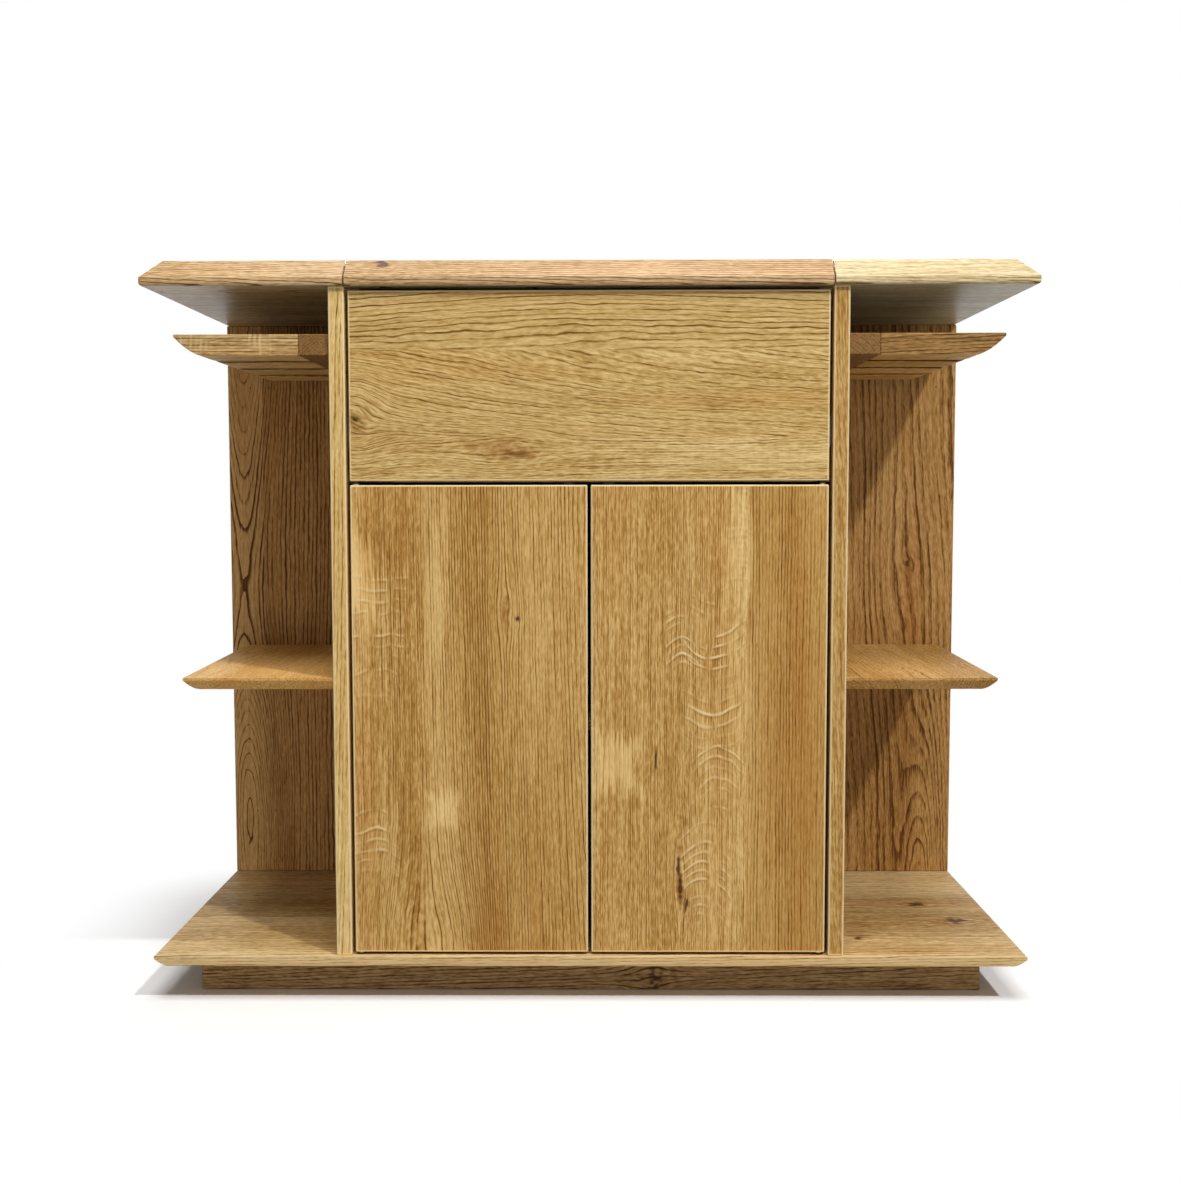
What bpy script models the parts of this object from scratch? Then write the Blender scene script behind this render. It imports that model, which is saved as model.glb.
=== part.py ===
"""Oak bar counter: a cabinet with a lift-up lid, a drawer and two doors, between two open bays.

Metres, +Z up. The working side, with the drawer and the doors, faces -Y. The origin is on the
floor, under the middle of the counter's outline.
"""
import math

import bmesh
import bpy
from mathutils import Matrix

# Overall size
COUNTER_W = 1.300
COUNTER_D = 0.500
COUNTER_H = 1.100

# Clearances and softened edges
FIT = 0.0003
RUN = 0.0004
ARRIS = 0.0012

# Top boards and lid: a plain nose below, a wide chamfer above
TOP_T = 0.040
TOP_NOSE = 0.012
TOP_CHAMFER_RUN = 0.028
TOP_ROUND = 0.004
LID_CUT = 0.0025

# Undercut edges of the base, the bay shelves and the rack rails
UNDERCUT_NOSE = 0.0035
UNDERCUT_SWELL = 1.6
UNDERCUT_STEPS = 5

# Base board and plinth
BASE_T = 0.020
BASE_UNDERCUT = 0.018
PLINTH_H = 0.052
PLINTH_T = 0.022
PLINTH_END_INSET = 0.053
PLINTH_FRONT_INSET = 0.063
PLINTH_REAR_INSET = 0.058

# Cabinet sides and back panel
CABINET_W = 0.756
SIDE_T = 0.023
SIDE_SETBACK = 0.007
BACK_T = 0.020

# Drawer front and doors, inset between the sides
FRONT_T = 0.020
FRONT_SETBACK = 0.010
SIDE_REVEAL = 0.005
LID_REVEAL = 0.006
MIDDLE_REVEAL = 0.006
DOOR_REVEAL = 0.005
DRAWER_FRONT_H = 0.2755

# Divider under the drawer, and the shelf behind the doors
DIVIDER_T = 0.018
DIVIDER_SETBACK = 0.003
INNER_SHELF_T = 0.018
INNER_SHELF_RISE = 0.348
INNER_SHELF_SETBACK = 0.025
INNER_SHELF_SIDE_GAP = 0.0015
SHELF_PIN_R = 0.0025
SHELF_PIN_IN = 0.009
SHELF_PIN_OUT = 0.009
SHELF_PIN_FROM_EDGE = 0.045

# Bay shelves
BAY_SHELF_T = 0.019
BAY_SHELF_RISE = 0.4165
BAY_SHELF_SETBACK = 0.010
BAY_SHELF_FRONT_INSET = 0.049
BAY_SHELF_REAR_INSET = 0.028
BAY_SHELF_UNDERCUT = 0.020

# Stemware racks
RACK_T = 0.031
GLASS_FOOT_SPACE = 0.068
RACK_SETBACK = 0.014
RACK_REAR_GAP = 0.026
RACK_END_INSET = 0.044
SPINE_W = 0.045
STEM_SLOT = 0.034
RAIL_COUNT = 4
RAIL_UNDERCUT = 0.042

# Battens that carry the shut lid
REST_W = 0.018
REST_H = 0.018

# Lid hinges
HINGE_L = 0.070
HINGE_FROM_END = 0.110
LEAF_T = 0.002
LEAF_REACH = 0.016
KNUCKLE_R = 0.005
KNUCKLE_COUNT = 5
HINGE_PIN_R = 0.0022

# Drawer box
DRAWER_SIDE_T = 0.012
DRAWER_BACK_T = 0.012
DRAWER_BOTTOM_T = 0.008
DRAWER_BOTTOM_UP = 0.010
DRAWER_GROOVE = 0.006
DRAWER_REAR_GAP = 0.040
DRAWER_FLOOR_GAP = 0.006
DRAWER_HEADROOM = 0.045

# Telescopic runners, three nested channels each side
RUNNER_W = 0.0127
RUNNER_H = 0.045
RUNNER_T = 0.0015
RUNNER_LIP = 0.0012
RUNNER_UP = 0.050
RUNNER_SETBACK = 0.004

# Door pivots
PIVOT_FROM_EDGE = 0.008
PIVOT_FROM_FACE = 0.008
PIVOT_PIN_R = 0.0025
PIVOT_PIN_L = 0.012
PLATE_T = 0.0025
PLATE_W = 0.022
PLATE_NOSE_R = 0.006
PLATE_BODY_BACK = 0.018
PLATE_L = 0.052
PLATE_HOLE_R = 0.002
BUSH_WALL = 0.0015
BUSH_L = 0.014
BUSH_FLANGE_W = 0.0015
BUSH_FLANGE_T = 0.001

# Push latches
LATCH_W = 0.016
LATCH_H = 0.016
LATCH_L = 0.058
LATCH_FRONT_GAP = 0.006
LATCH_FROM_MIDDLE = 0.030
LATCH_ROUND = 0.003
PLUNGER_R = 0.003
PLUNGER_L = 0.040

# Facets round a full turn
FACETS = 20

# Planes and levels that follow from the sizes
FRONT_Y = -COUNTER_D / 2
REAR_Y = COUNTER_D / 2 - KNUCKLE_R
BACK_Y = REAR_Y - BACK_T
END_X = COUNTER_W / 2
SIDE_OUT_X = CABINET_W / 2
SIDE_IN_X = SIDE_OUT_X - SIDE_T
SIDE_Y = FRONT_Y + SIDE_SETBACK
BASE_TOP = PLINTH_H + BASE_T
TOP_UNDER = COUNTER_H - TOP_T
RACK_TOP = TOP_UNDER - GLASS_FOOT_SPACE
BAY_SHELF_TOP = BASE_TOP + BAY_SHELF_RISE
INNER_SHELF_TOP = BASE_TOP + INNER_SHELF_RISE
PANEL_LOW = BASE_TOP + FIT
PANEL_HIGH = TOP_UNDER - FIT
LID_X = SIDE_IN_X - LID_CUT / 2 - FIT
TOP_IN_X = LID_X + LID_CUT
FACE_Y = FRONT_Y + FRONT_SETBACK
FACE_BACK_Y = FACE_Y + FRONT_T
FRONT_X = SIDE_IN_X - SIDE_REVEAL
PIVOT_STACK = PLATE_T + BUSH_FLANGE_T + 3 * FIT
DRAWER_TOP = TOP_UNDER - LID_REVEAL
DRAWER_LOW = DRAWER_TOP - DRAWER_FRONT_H
DOOR_TOP = DRAWER_LOW - MIDDLE_REVEAL
DOOR_LOW = BASE_TOP + PIVOT_STACK
DIVIDER_LOW = DOOR_TOP + PIVOT_STACK
DIVIDER_TOP = DIVIDER_LOW + DIVIDER_T
REST_LOW = PANEL_HIGH - REST_H
BOX_LOW = DIVIDER_TOP + DRAWER_FLOOR_GAP
BOX_HIGH = REST_LOW - DRAWER_HEADROOM
BOX_X = SIDE_IN_X - RUNNER_W
BOX_IN_X = BOX_X - DRAWER_SIDE_T
BOX_FRONT_Y = FACE_BACK_Y + FIT
BOX_REAR_Y = BACK_Y - DRAWER_REAR_GAP
BOX_BOTTOM_Z = BOX_LOW + DRAWER_BOTTOM_UP
PIVOT_X = FRONT_X - PIVOT_FROM_EDGE
PIVOT_Y = FACE_Y + PIVOT_FROM_FACE
BUSH_R = PIVOT_PIN_R + RUN + BUSH_WALL
BAYS = (("left", -1), ("right", 1))

# Colours read from the photo, in linear light, with roughness and metallic
OAK_TOP = ((0.60, 0.42, 0.22), 0.45, 0.0)
OAK_FRONT = ((0.48, 0.29, 0.10), 0.45, 0.0)
OAK_EDGE = ((0.52, 0.34, 0.13), 0.45, 0.0)
OAK_BACK = ((0.42, 0.25, 0.09), 0.50, 0.0)
OAK_INSIDE = ((0.50, 0.33, 0.14), 0.55, 0.0)
PLYWOOD = ((0.62, 0.46, 0.26), 0.60, 0.0)
STEEL = ((0.56, 0.57, 0.58), 0.35, 1.0)
BRASS = ((0.62, 0.44, 0.18), 0.32, 1.0)
GREY_PLASTIC = ((0.40, 0.40, 0.41), 0.55, 0.0)


def clear_scene():
    for old in list(bpy.data.objects):
        bpy.data.objects.remove(old, do_unlink=True)


def finish_material(name, finish):
    """One Principled material for one sub-part."""
    colour, roughness, metallic = finish
    material = bpy.data.materials.new(f"{name}_finish")
    material.use_nodes = True
    shader = material.node_tree.nodes["Principled BSDF"]
    shader.inputs["Base Color"].default_value = (*colour, 1.0)
    shader.inputs["Roughness"].default_value = roughness
    shader.inputs["Metallic"].default_value = metallic
    return material


def pivot(name, position):
    """An empty on a joint's axis, which its moving pieces hang from."""
    empty = bpy.data.objects.new(name, None)
    empty.location = position
    bpy.context.collection.objects.link(empty)
    return empty


def add_object(name, shape, finish, carrier=None):
    """Links a mesh drawn in world coordinates, with its origin on its carrier or its own middle."""
    bmesh.ops.recalc_face_normals(shape, faces=shape.faces)
    low = [min(v.co[k] for v in shape.verts) for k in range(3)]
    high = [max(v.co[k] for v in shape.verts) for k in range(3)]
    middle = [(a + b) / 2 for a, b in zip(low, high)]
    bmesh.ops.translate(shape, verts=shape.verts, vec=[-c for c in middle])
    mesh = bpy.data.meshes.new(name)
    shape.to_mesh(mesh)
    shape.free()
    item = bpy.data.objects.new(name, mesh)
    item.location = middle
    if carrier is not None:
        item.parent = carrier
        item.location = [c - o for c, o in zip(middle, carrier.location)]
    if finish is not None:
        mesh.materials.append(finish_material(name, finish))
    bpy.context.collection.objects.link(item)
    return item


def box_shape(low, high):
    shape = bmesh.new()
    bmesh.ops.create_cube(shape, size=1.0)
    size = [b - a for a, b in zip(low, high)]
    middle = [(a + b) / 2 for a, b in zip(low, high)]
    bmesh.ops.scale(shape, verts=shape.verts, vec=size)
    bmesh.ops.translate(shape, verts=shape.verts, vec=middle)
    return shape


def prism_shape(outline, start, end, along):
    """Extrudes an outline along one axis. The outline's two numbers are the other axes, in order."""
    shape = bmesh.new()
    spread = [k for k in range(3) if k != along]
    ring = []
    for pair in outline:
        point = [0.0, 0.0, 0.0]
        point[along] = start
        point[spread[0]] = pair[0]
        point[spread[1]] = pair[1]
        ring.append(shape.verts.new(point))
    face = shape.faces.new(ring)
    grown = bmesh.ops.extrude_face_region(shape, geom=[face])
    step = [0.0, 0.0, 0.0]
    step[along] = end - start
    moved = [g for g in grown["geom"] if isinstance(g, bmesh.types.BMVert)]
    bmesh.ops.translate(shape, verts=moved, vec=step)
    return shape


def rod_shape(middle, radius, start, end, along):
    """A round bar along one axis. The middle's two numbers are the other axes, in order."""
    outline = []
    for k in range(FACETS):
        turn = 2 * math.pi * k / FACETS
        outline.append((middle[0] + radius * math.cos(turn), middle[1] + radius * math.sin(turn)))
    return prism_shape(outline, start, end, along)


def turned_shape(profile, x, y):
    """Turns a closed (radius, height) profile about an upright axis."""
    shape = bmesh.new()
    ring = [shape.verts.new((x + r, y, z)) for r, z in profile]
    edges = [shape.edges.new((a, b)) for a, b in zip(ring, ring[1:] + ring[:1])]
    bmesh.ops.spin(
        shape, geom=ring + edges, cent=(x, y, 0), axis=(0, 0, 1),
        angle=2 * math.pi, steps=FACETS, use_merge=True)
    return shape


def shade_round(item):
    item.data.shade_smooth()
    item.data.set_sharp_from_angle(angle=math.radians(35))


def soften(item, width=ARRIS, steps=1):
    """Takes the sharp arris off a board."""
    bevel = item.modifiers.new("arris", "BEVEL")
    bevel.width = width
    bevel.segments = steps
    bevel.limit_method = "ANGLE"
    bevel.angle_limit = math.radians(40)


def combine(item, shape, operation):
    """Cuts, joins or trims an object with a hidden helper shape."""
    helper = add_object(f"{item.name}_helper_{len(item.modifiers)}", shape, None)
    helper.hide_render = True
    helper.display_type = "WIRE"
    boolean = item.modifiers.new(operation.lower(), "BOOLEAN")
    boolean.operation = operation
    boolean.solver = "EXACT"
    boolean.object = helper


def board(name, low, high, finish, carrier=None):
    item = add_object(name, box_shape(low, high), finish, carrier)
    soften(item)
    return item


def mirrored(low, high, hand):
    """A box given for the right-hand side, on the side that hand names."""
    x0, x1 = sorted((hand * low[0], hand * high[0]))
    return (x0, *low[1:]), (x1, *high[1:])


def rounded(outline, radii, steps=3):
    """Replaces each corner of an outline with an arc of its own radius."""
    result = []
    count = len(outline)
    for k, radius in enumerate(radii):
        corner = outline[k]
        if radius == 0:
            result.append(corner)
            continue
        before = outline[k - 1]
        after = outline[(k + 1) % count]
        one = (before[0] - corner[0], before[1] - corner[1])
        two = (after[0] - corner[0], after[1] - corner[1])
        one = [c / math.hypot(*one) for c in one]
        two = [c / math.hypot(*two) for c in two]
        half = math.acos(one[0] * two[0] + one[1] * two[1]) / 2
        bisector = (one[0] + two[0], one[1] + two[1])
        reach = radius / math.sin(half) / math.hypot(*bisector)
        centre = (corner[0] + bisector[0] * reach, corner[1] + bisector[1] * reach)
        leg = radius / math.tan(half)
        first = math.atan2(corner[1] + one[1] * leg - centre[1], corner[0] + one[0] * leg - centre[0])
        last = math.atan2(corner[1] + two[1] * leg - centre[1], corner[0] + two[0] * leg - centre[0])
        sweep = (last - first + math.pi) % (2 * math.pi) - math.pi
        for n in range(steps + 1):
            turn = first + sweep * n / steps
            result.append((centre[0] + radius * math.cos(turn), centre[1] + radius * math.sin(turn)))
    return result


def chamfered_section(tip, far, low, high):
    """Section of a top board, whose nose is at tip: nose below, chamfer above, square at far."""
    inward = math.copysign(TOP_CHAMFER_RUN, far - tip)
    outline = [
        (tip, low), (far, low), (far, high), (tip + inward, high), (tip, low + TOP_NOSE)]
    return rounded(outline, (TOP_ROUND, 0, 0, TOP_ROUND, TOP_ROUND))


def undercut_edge(tip, inward, low, high):
    """Points of an undercut edge, from its nose at the top, swelling down and in to the underside."""
    points = [(tip, high)]
    for k in range(UNDERCUT_STEPS + 1):
        share = k / UNDERCUT_STEPS
        drop = (high - UNDERCUT_NOSE - low) * (1 - share) ** UNDERCUT_SWELL
        points.append((tip + inward * share, low + drop))
    return points


def undercut_section(tip, far, run, low, high):
    """Section of a board with one undercut edge, at tip, and a square edge at far."""
    edge = undercut_edge(tip, math.copysign(run, far - tip), low, high)
    return edge + [(far, low), (far, high)]


def build_plinth():
    out_x = END_X - PLINTH_END_INSET
    front_y = FRONT_Y + PLINTH_FRONT_INSET
    rear_y = REAR_Y - PLINTH_REAR_INSET
    board("plinth_front", (-out_x, front_y, 0), (out_x, front_y + PLINTH_T, PLINTH_H), OAK_BACK)
    board("plinth_rear", (-out_x, rear_y - PLINTH_T, 0), (out_x, rear_y, PLINTH_H), OAK_BACK)
    for side, hand in BAYS:
        low = (out_x - PLINTH_T, front_y + PLINTH_T + FIT, 0)
        high = (out_x, rear_y - PLINTH_T - FIT, PLINTH_H)
        board(f"plinth_{side}", *mirrored(low, high, hand), OAK_BACK)


def build_base():
    low = PLINTH_H + FIT
    across = undercut_section(FRONT_Y, REAR_Y, BASE_UNDERCUT, low, BASE_TOP)
    base = add_object("base_board", prism_shape(across, -COUNTER_W, COUNTER_W, 0), OAK_EDGE)
    left_end = undercut_edge(-END_X, BASE_UNDERCUT, low, BASE_TOP)
    right_end = undercut_edge(END_X, -BASE_UNDERCUT, low, BASE_TOP)
    lengthwise = left_end + right_end[::-1]
    combine(base, prism_shape(lengthwise, -COUNTER_D, COUNTER_D, 1), "INTERSECT")


def build_sides():
    for side, hand in BAYS:
        low = (SIDE_IN_X, SIDE_Y, PANEL_LOW)
        high = (SIDE_OUT_X, BACK_Y - FIT, PANEL_HIGH)
        panel = board(f"side_panel_{side}", *mirrored(low, high, hand), OAK_EDGE)
        for y in shelf_pin_rows():
            mouth = hand * (SIDE_IN_X - SHELF_PIN_OUT)
            end = hand * (SIDE_IN_X + SHELF_PIN_IN + FIT)
            hole = rod_shape((y, shelf_pin_height()), SHELF_PIN_R + FIT, mouth, end, 0)
            combine(panel, hole, "DIFFERENCE")


def build_back():
    low = (-END_X, BACK_Y, PANEL_LOW)
    high = (END_X, REAR_Y, PANEL_HIGH)
    panel = board("back_panel", low, high, OAK_BACK)
    for middle in hinge_middles():
        cut_hinge_seat(panel, middle, -1)


def build_tops():
    section = chamfered_section(FRONT_Y, REAR_Y, TOP_UNDER, COUNTER_H)
    for side, hand in BAYS:
        top = add_object(f"top_{side}", prism_shape(section, 0, hand * COUNTER_W, 0), OAK_TOP)
        end = chamfered_section(hand * END_X, hand * TOP_IN_X, TOP_UNDER, COUNTER_H)
        combine(top, prism_shape(end, -COUNTER_D, COUNTER_D, 1), "INTERSECT")


def build_lid(carrier):
    section = chamfered_section(FRONT_Y, REAR_Y, TOP_UNDER, COUNTER_H)
    lid = add_object("lid", prism_shape(section, -LID_X, LID_X, 0), OAK_TOP, carrier)
    for middle in hinge_middles():
        cut_hinge_seat(lid, middle, 1)


def build_lid_rests():
    for side, hand in BAYS:
        low = (SIDE_IN_X - FIT - REST_W, FACE_BACK_Y + DIVIDER_SETBACK, REST_LOW)
        high = (SIDE_IN_X - FIT, BACK_Y - FIT, PANEL_HIGH)
        board(f"lid_rest_{side}", *mirrored(low, high, hand), OAK_INSIDE)


def hinge_middles():
    offset = LID_X - HINGE_FROM_END - HINGE_L / 2
    return -offset, offset


def cut_hinge_seat(item, middle, upward):
    """Lets one leaf and the knuckles of a lid hinge into the lid (upward 1) or the back panel (-1)."""
    deep = TOP_UNDER + upward * (RUN / 2 + LEAF_T + FIT)
    clear = TOP_UNDER - upward * KNUCKLE_R
    half = HINGE_L / 2 + FIT
    low = (middle - half, REAR_Y - LEAF_REACH - FIT, min(deep, clear))
    high = (middle + half, REAR_Y + KNUCKLE_R, max(deep, clear))
    combine(item, box_shape(low, high), "DIFFERENCE")
    groove = rod_shape((REAR_Y, TOP_UNDER), KNUCKLE_R + RUN, middle - half, middle + half, 0)
    combine(item, groove, "DIFFERENCE")


def build_hinge_leaf(name, middle, upward, carrier):
    """One leaf of a lid hinge: a plate with fingers that run into its own knuckles."""
    pitch = HINGE_L / KNUCKLE_COUNT
    own = range(1, KNUCKLE_COUNT, 2) if upward > 0 else range(0, KNUCKLE_COUNT, 2)
    root_y = REAR_Y - KNUCKLE_R - 2 * RUN
    start = middle - HINGE_L / 2
    outline = [(start, REAR_Y - LEAF_REACH), (start, root_y)]
    for k in own:
        finger = (start + k * pitch + RUN, start + (k + 1) * pitch - RUN)
        outline += [(finger[0], root_y), (finger[0], REAR_Y), (finger[1], REAR_Y), (finger[1], root_y)]
    outline += [(start + HINGE_L, root_y), (start + HINGE_L, REAR_Y - LEAF_REACH)]
    face = TOP_UNDER + upward * RUN / 2
    leaf = add_object(name, prism_shape(outline, face, face + upward * LEAF_T, 2), BRASS, carrier)
    axis = (REAR_Y, TOP_UNDER)
    for k in own:
        ends = (start + k * pitch + RUN / 2, start + (k + 1) * pitch - RUN / 2)
        combine(leaf, rod_shape(axis, KNUCKLE_R, *ends, 0), "UNION")
    pin_ends = (start + pitch / 2, start + HINGE_L - pitch / 2)
    if upward > 0:
        combine(leaf, rod_shape(axis, HINGE_PIN_R + RUN, *pin_ends, 0), "DIFFERENCE")
    else:
        combine(leaf, rod_shape(axis, HINGE_PIN_R, *pin_ends, 0), "UNION")
    shade_round(leaf)


def build_lid_hinges(carrier):
    for (side, _), middle in zip(BAYS, hinge_middles()):
        build_hinge_leaf(f"lid_hinge_fixed_leaf_{side}", middle, -1, None)
        build_hinge_leaf(f"lid_hinge_moving_leaf_{side}", middle, 1, carrier)


def build_bay_shelves():
    low = BAY_SHELF_TOP - BAY_SHELF_T
    front_y = FRONT_Y + BAY_SHELF_SETBACK
    across = undercut_section(front_y, BACK_Y - FIT, BAY_SHELF_UNDERCUT, low, BAY_SHELF_TOP)
    splay = math.atan2(BAY_SHELF_FRONT_INSET - BAY_SHELF_REAR_INSET, BACK_Y - front_y)
    for side, hand in BAYS:
        inner_x = hand * (SIDE_OUT_X + FIT)
        shelf = add_object(
            f"bay_shelf_{side}", prism_shape(across, inner_x, hand * COUNTER_W, 0), OAK_FRONT)
        # The outer edge runs out a little towards the back, so its trimming prism is turned to suit
        edge = undercut_section(0, -hand * COUNTER_W, BAY_SHELF_UNDERCUT, low, BAY_SHELF_TOP)
        trim = prism_shape(edge, -COUNTER_D, 2 * COUNTER_D, 1)
        turn = Matrix.Rotation(-hand * splay, 4, "Z")
        shift = Matrix.Translation((hand * (END_X - BAY_SHELF_FRONT_INSET), front_y, 0))
        bmesh.ops.transform(trim, matrix=shift @ turn, verts=trim.verts)
        combine(shelf, trim, "INTERSECT")


def rack_depth_span():
    return FRONT_Y + RACK_SETBACK, BACK_Y - RACK_REAR_GAP


def build_racks():
    front_y, rear_y = rack_depth_span()
    low = RACK_TOP - RACK_T
    rail_w = (rear_y - front_y - (RAIL_COUNT - 1) * STEM_SLOT) / RAIL_COUNT
    spine_x = SIDE_OUT_X + FIT + SPINE_W
    for side, hand in BAYS:
        corners = mirrored((SIDE_OUT_X + FIT, front_y, low), (spine_x, rear_y, RACK_TOP), hand)
        board(f"rack_spine_{side}", *corners, OAK_EDGE)
        section = undercut_section(
            hand * (END_X - RACK_END_INSET), hand * (spine_x + FIT), RAIL_UNDERCUT, low, RACK_TOP)
        for k in range(RAIL_COUNT):
            start = front_y + k * (rail_w + STEM_SLOT)
            rail = prism_shape(section, start, start + rail_w, 1)
            soften(add_object(f"rack_rail_{side}_{k + 1}", rail, OAK_EDGE))


def build_divider():
    low = (-SIDE_IN_X + FIT, FACE_BACK_Y + DIVIDER_SETBACK, DIVIDER_LOW)
    high = (SIDE_IN_X - FIT, BACK_Y - FIT, DIVIDER_TOP)
    board("divider", low, high, OAK_INSIDE)


def shelf_pin_height():
    return INNER_SHELF_TOP - INNER_SHELF_T - FIT - SHELF_PIN_R


def shelf_pin_rows():
    front_y = FACE_BACK_Y + INNER_SHELF_SETBACK + SHELF_PIN_FROM_EDGE
    return front_y, BACK_Y - SHELF_PIN_FROM_EDGE


def build_inner_shelf():
    reach = SIDE_IN_X - INNER_SHELF_SIDE_GAP
    low = (-reach, FACE_BACK_Y + INNER_SHELF_SETBACK, INNER_SHELF_TOP - INNER_SHELF_T)
    high = (reach, BACK_Y - INNER_SHELF_SIDE_GAP, INNER_SHELF_TOP)
    board("inner_shelf", low, high, OAK_INSIDE)
    for side, hand in BAYS:
        for place, y in zip(("front", "rear"), shelf_pin_rows()):
            ends = (hand * (SIDE_IN_X - SHELF_PIN_OUT), hand * (SIDE_IN_X + SHELF_PIN_IN))
            pin = rod_shape((y, shelf_pin_height()), SHELF_PIN_R, *ends, 0)
            shade_round(add_object(f"shelf_pin_{side}_{place}", pin, STEEL))


def build_drawer(carrier):
    front = board(
        "drawer_front", (-FRONT_X, FACE_Y, DRAWER_LOW), (FRONT_X, FACE_BACK_Y, DRAWER_TOP),
        OAK_FRONT, carrier)
    bottom_x = BOX_IN_X + DRAWER_GROOVE
    bottom_low = (-bottom_x, FACE_BACK_Y - DRAWER_GROOVE, BOX_BOTTOM_Z)
    bottom_high = (bottom_x, BOX_REAR_Y, BOX_BOTTOM_Z + DRAWER_BOTTOM_T)
    groove_low = [c - FIT for c in bottom_low]
    groove_high = (bottom_x + FIT, BOX_REAR_Y, bottom_high[2] + FIT)
    combine(front, box_shape(groove_low, groove_high), "DIFFERENCE")
    add_object("drawer_bottom", box_shape(bottom_low, bottom_high), PLYWOOD, carrier)
    for side, hand in BAYS:
        section = [
            (BOX_X, BOX_LOW), (BOX_X, BOX_HIGH), (BOX_IN_X, BOX_HIGH), (BOX_IN_X, groove_high[2]),
            (groove_high[0], groove_high[2]), (groove_high[0], groove_low[2]),
            (BOX_IN_X, groove_low[2]), (BOX_IN_X, BOX_LOW)]
        section = [(hand * x, z) for x, z in section]
        shape = prism_shape(section, BOX_FRONT_Y, BOX_REAR_Y, 1)
        add_object(f"drawer_side_{side}", shape, OAK_INSIDE, carrier)
    low = (-BOX_IN_X + FIT, BOX_REAR_Y - DRAWER_BACK_T, groove_high[2])
    high = (BOX_IN_X - FIT, BOX_REAR_Y, BOX_HIGH)
    board("drawer_back", low, high, OAK_INSIDE, carrier)


def channel(name, hand, web, tips, height, carrier):
    """One runner member: a channel section with its web at one depth and its lips' tips at another.

    Depths are measured from the cabinet side's inner face towards the drawer.
    """
    inward = math.copysign(RUNNER_T, tips - web)
    middle_z = BOX_LOW + RUNNER_UP
    top = height / 2
    section = [
        (web, top), (tips, top), (tips, top - RUNNER_T), (web + inward, top - RUNNER_T),
        (web + inward, RUNNER_T - top), (tips, RUNNER_T - top), (tips, -top), (web, -top)]
    section = [(hand * (SIDE_IN_X - depth), middle_z + up) for depth, up in section]
    shape = prism_shape(section, FACE_BACK_Y + RUNNER_SETBACK, BOX_REAR_Y, 1)
    add_object(name, shape, STEEL, carrier)


def build_runners(drawer, middle_slide):
    nest = RUNNER_T + RUN
    for side, hand in BAYS:
        inner_web = RUNNER_W - FIT
        middle_tips = inner_web - RUNNER_T
        outer_tips = middle_tips - RUNNER_LIP
        channel(f"runner_outer_{side}", hand, FIT, outer_tips, RUNNER_H, None)
        channel(f"runner_middle_{side}", hand, FIT + nest, middle_tips, RUNNER_H - 2 * nest, middle_slide)
        channel(f"runner_inner_{side}", hand, inner_web, FIT + 2 * nest, RUNNER_H - 4 * nest, drawer)


def build_pivot_plate(name, hand, low, pin_end):
    """A plate with a narrow nose that carries a door's pin, and two screw holes further in."""
    x = hand * PIVOT_X
    outline = []
    half_facets = FACETS // 2
    for k in range(half_facets + 1):
        turn = math.pi + math.pi * k / half_facets
        outline.append((x + PLATE_NOSE_R * math.cos(turn), PIVOT_Y + PLATE_NOSE_R * math.sin(turn)))
    body_y = PIVOT_Y + PLATE_BODY_BACK
    end_y = PIVOT_Y + PLATE_L
    half = PLATE_W / 2
    outline += [(x + half, body_y), (x + half, end_y), (x - half, end_y), (x - half, body_y)]
    plate = add_object(name, prism_shape(outline, low, low + PLATE_T, 2), STEEL)
    combine(plate, rod_shape((x, PIVOT_Y), PIVOT_PIN_R, low + PLATE_T / 2, pin_end, 2), "UNION")
    hole_row = (end_y - body_y) / 4
    for y in (body_y + hole_row, end_y - hole_row):
        hole = rod_shape((x, y), PLATE_HOLE_R, low - PLATE_T, low + 2 * PLATE_T, 2)
        combine(plate, hole, "DIFFERENCE")
    shade_round(plate)


def build_bush(name, hand, edge, inward, carrier):
    """A flanged bush let into a door's lower (inward 1) or upper (inward -1) edge."""
    bore = PIVOT_PIN_R + RUN
    flange_r = BUSH_R + BUSH_FLANGE_W
    face = edge - inward * (FIT + BUSH_FLANGE_T)
    neck = edge - inward * FIT
    end = edge + inward * BUSH_L
    profile = [(bore, face), (flange_r, face), (flange_r, neck), (BUSH_R, neck), (BUSH_R, end), (bore, end)]
    shade_round(add_object(name, turned_shape(profile, hand * PIVOT_X, PIVOT_Y), BRASS, carrier))


def build_door(side, hand, carrier):
    low = (DOOR_REVEAL / 2, FACE_Y, DOOR_LOW)
    high = (FRONT_X, FACE_BACK_Y, DOOR_TOP)
    door = board(f"door_{side}", *mirrored(low, high, hand), OAK_FRONT, carrier)
    axis = (hand * PIVOT_X, PIVOT_Y)
    # Above and below, each edge has a bush, which a plate's pin runs in
    for place, edge, inward in (("lower", DOOR_LOW, 1), ("upper", DOOR_TOP, -1)):
        hole_end = edge + inward * (BUSH_L + FIT)
        hole = rod_shape(axis, BUSH_R + FIT, edge - inward * BUSH_L, hole_end, 2)
        combine(door, hole, "DIFFERENCE")
        build_bush(f"door_bush_{side}_{place}", hand, edge, inward, carrier)
        gap = BUSH_FLANGE_T + 2 * FIT
        plate_low = edge - gap - PLATE_T if inward > 0 else edge + gap
        pin_end = edge + inward * PIVOT_PIN_L
        build_pivot_plate(f"door_pivot_{side}_{place}", hand, plate_low, pin_end)


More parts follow.
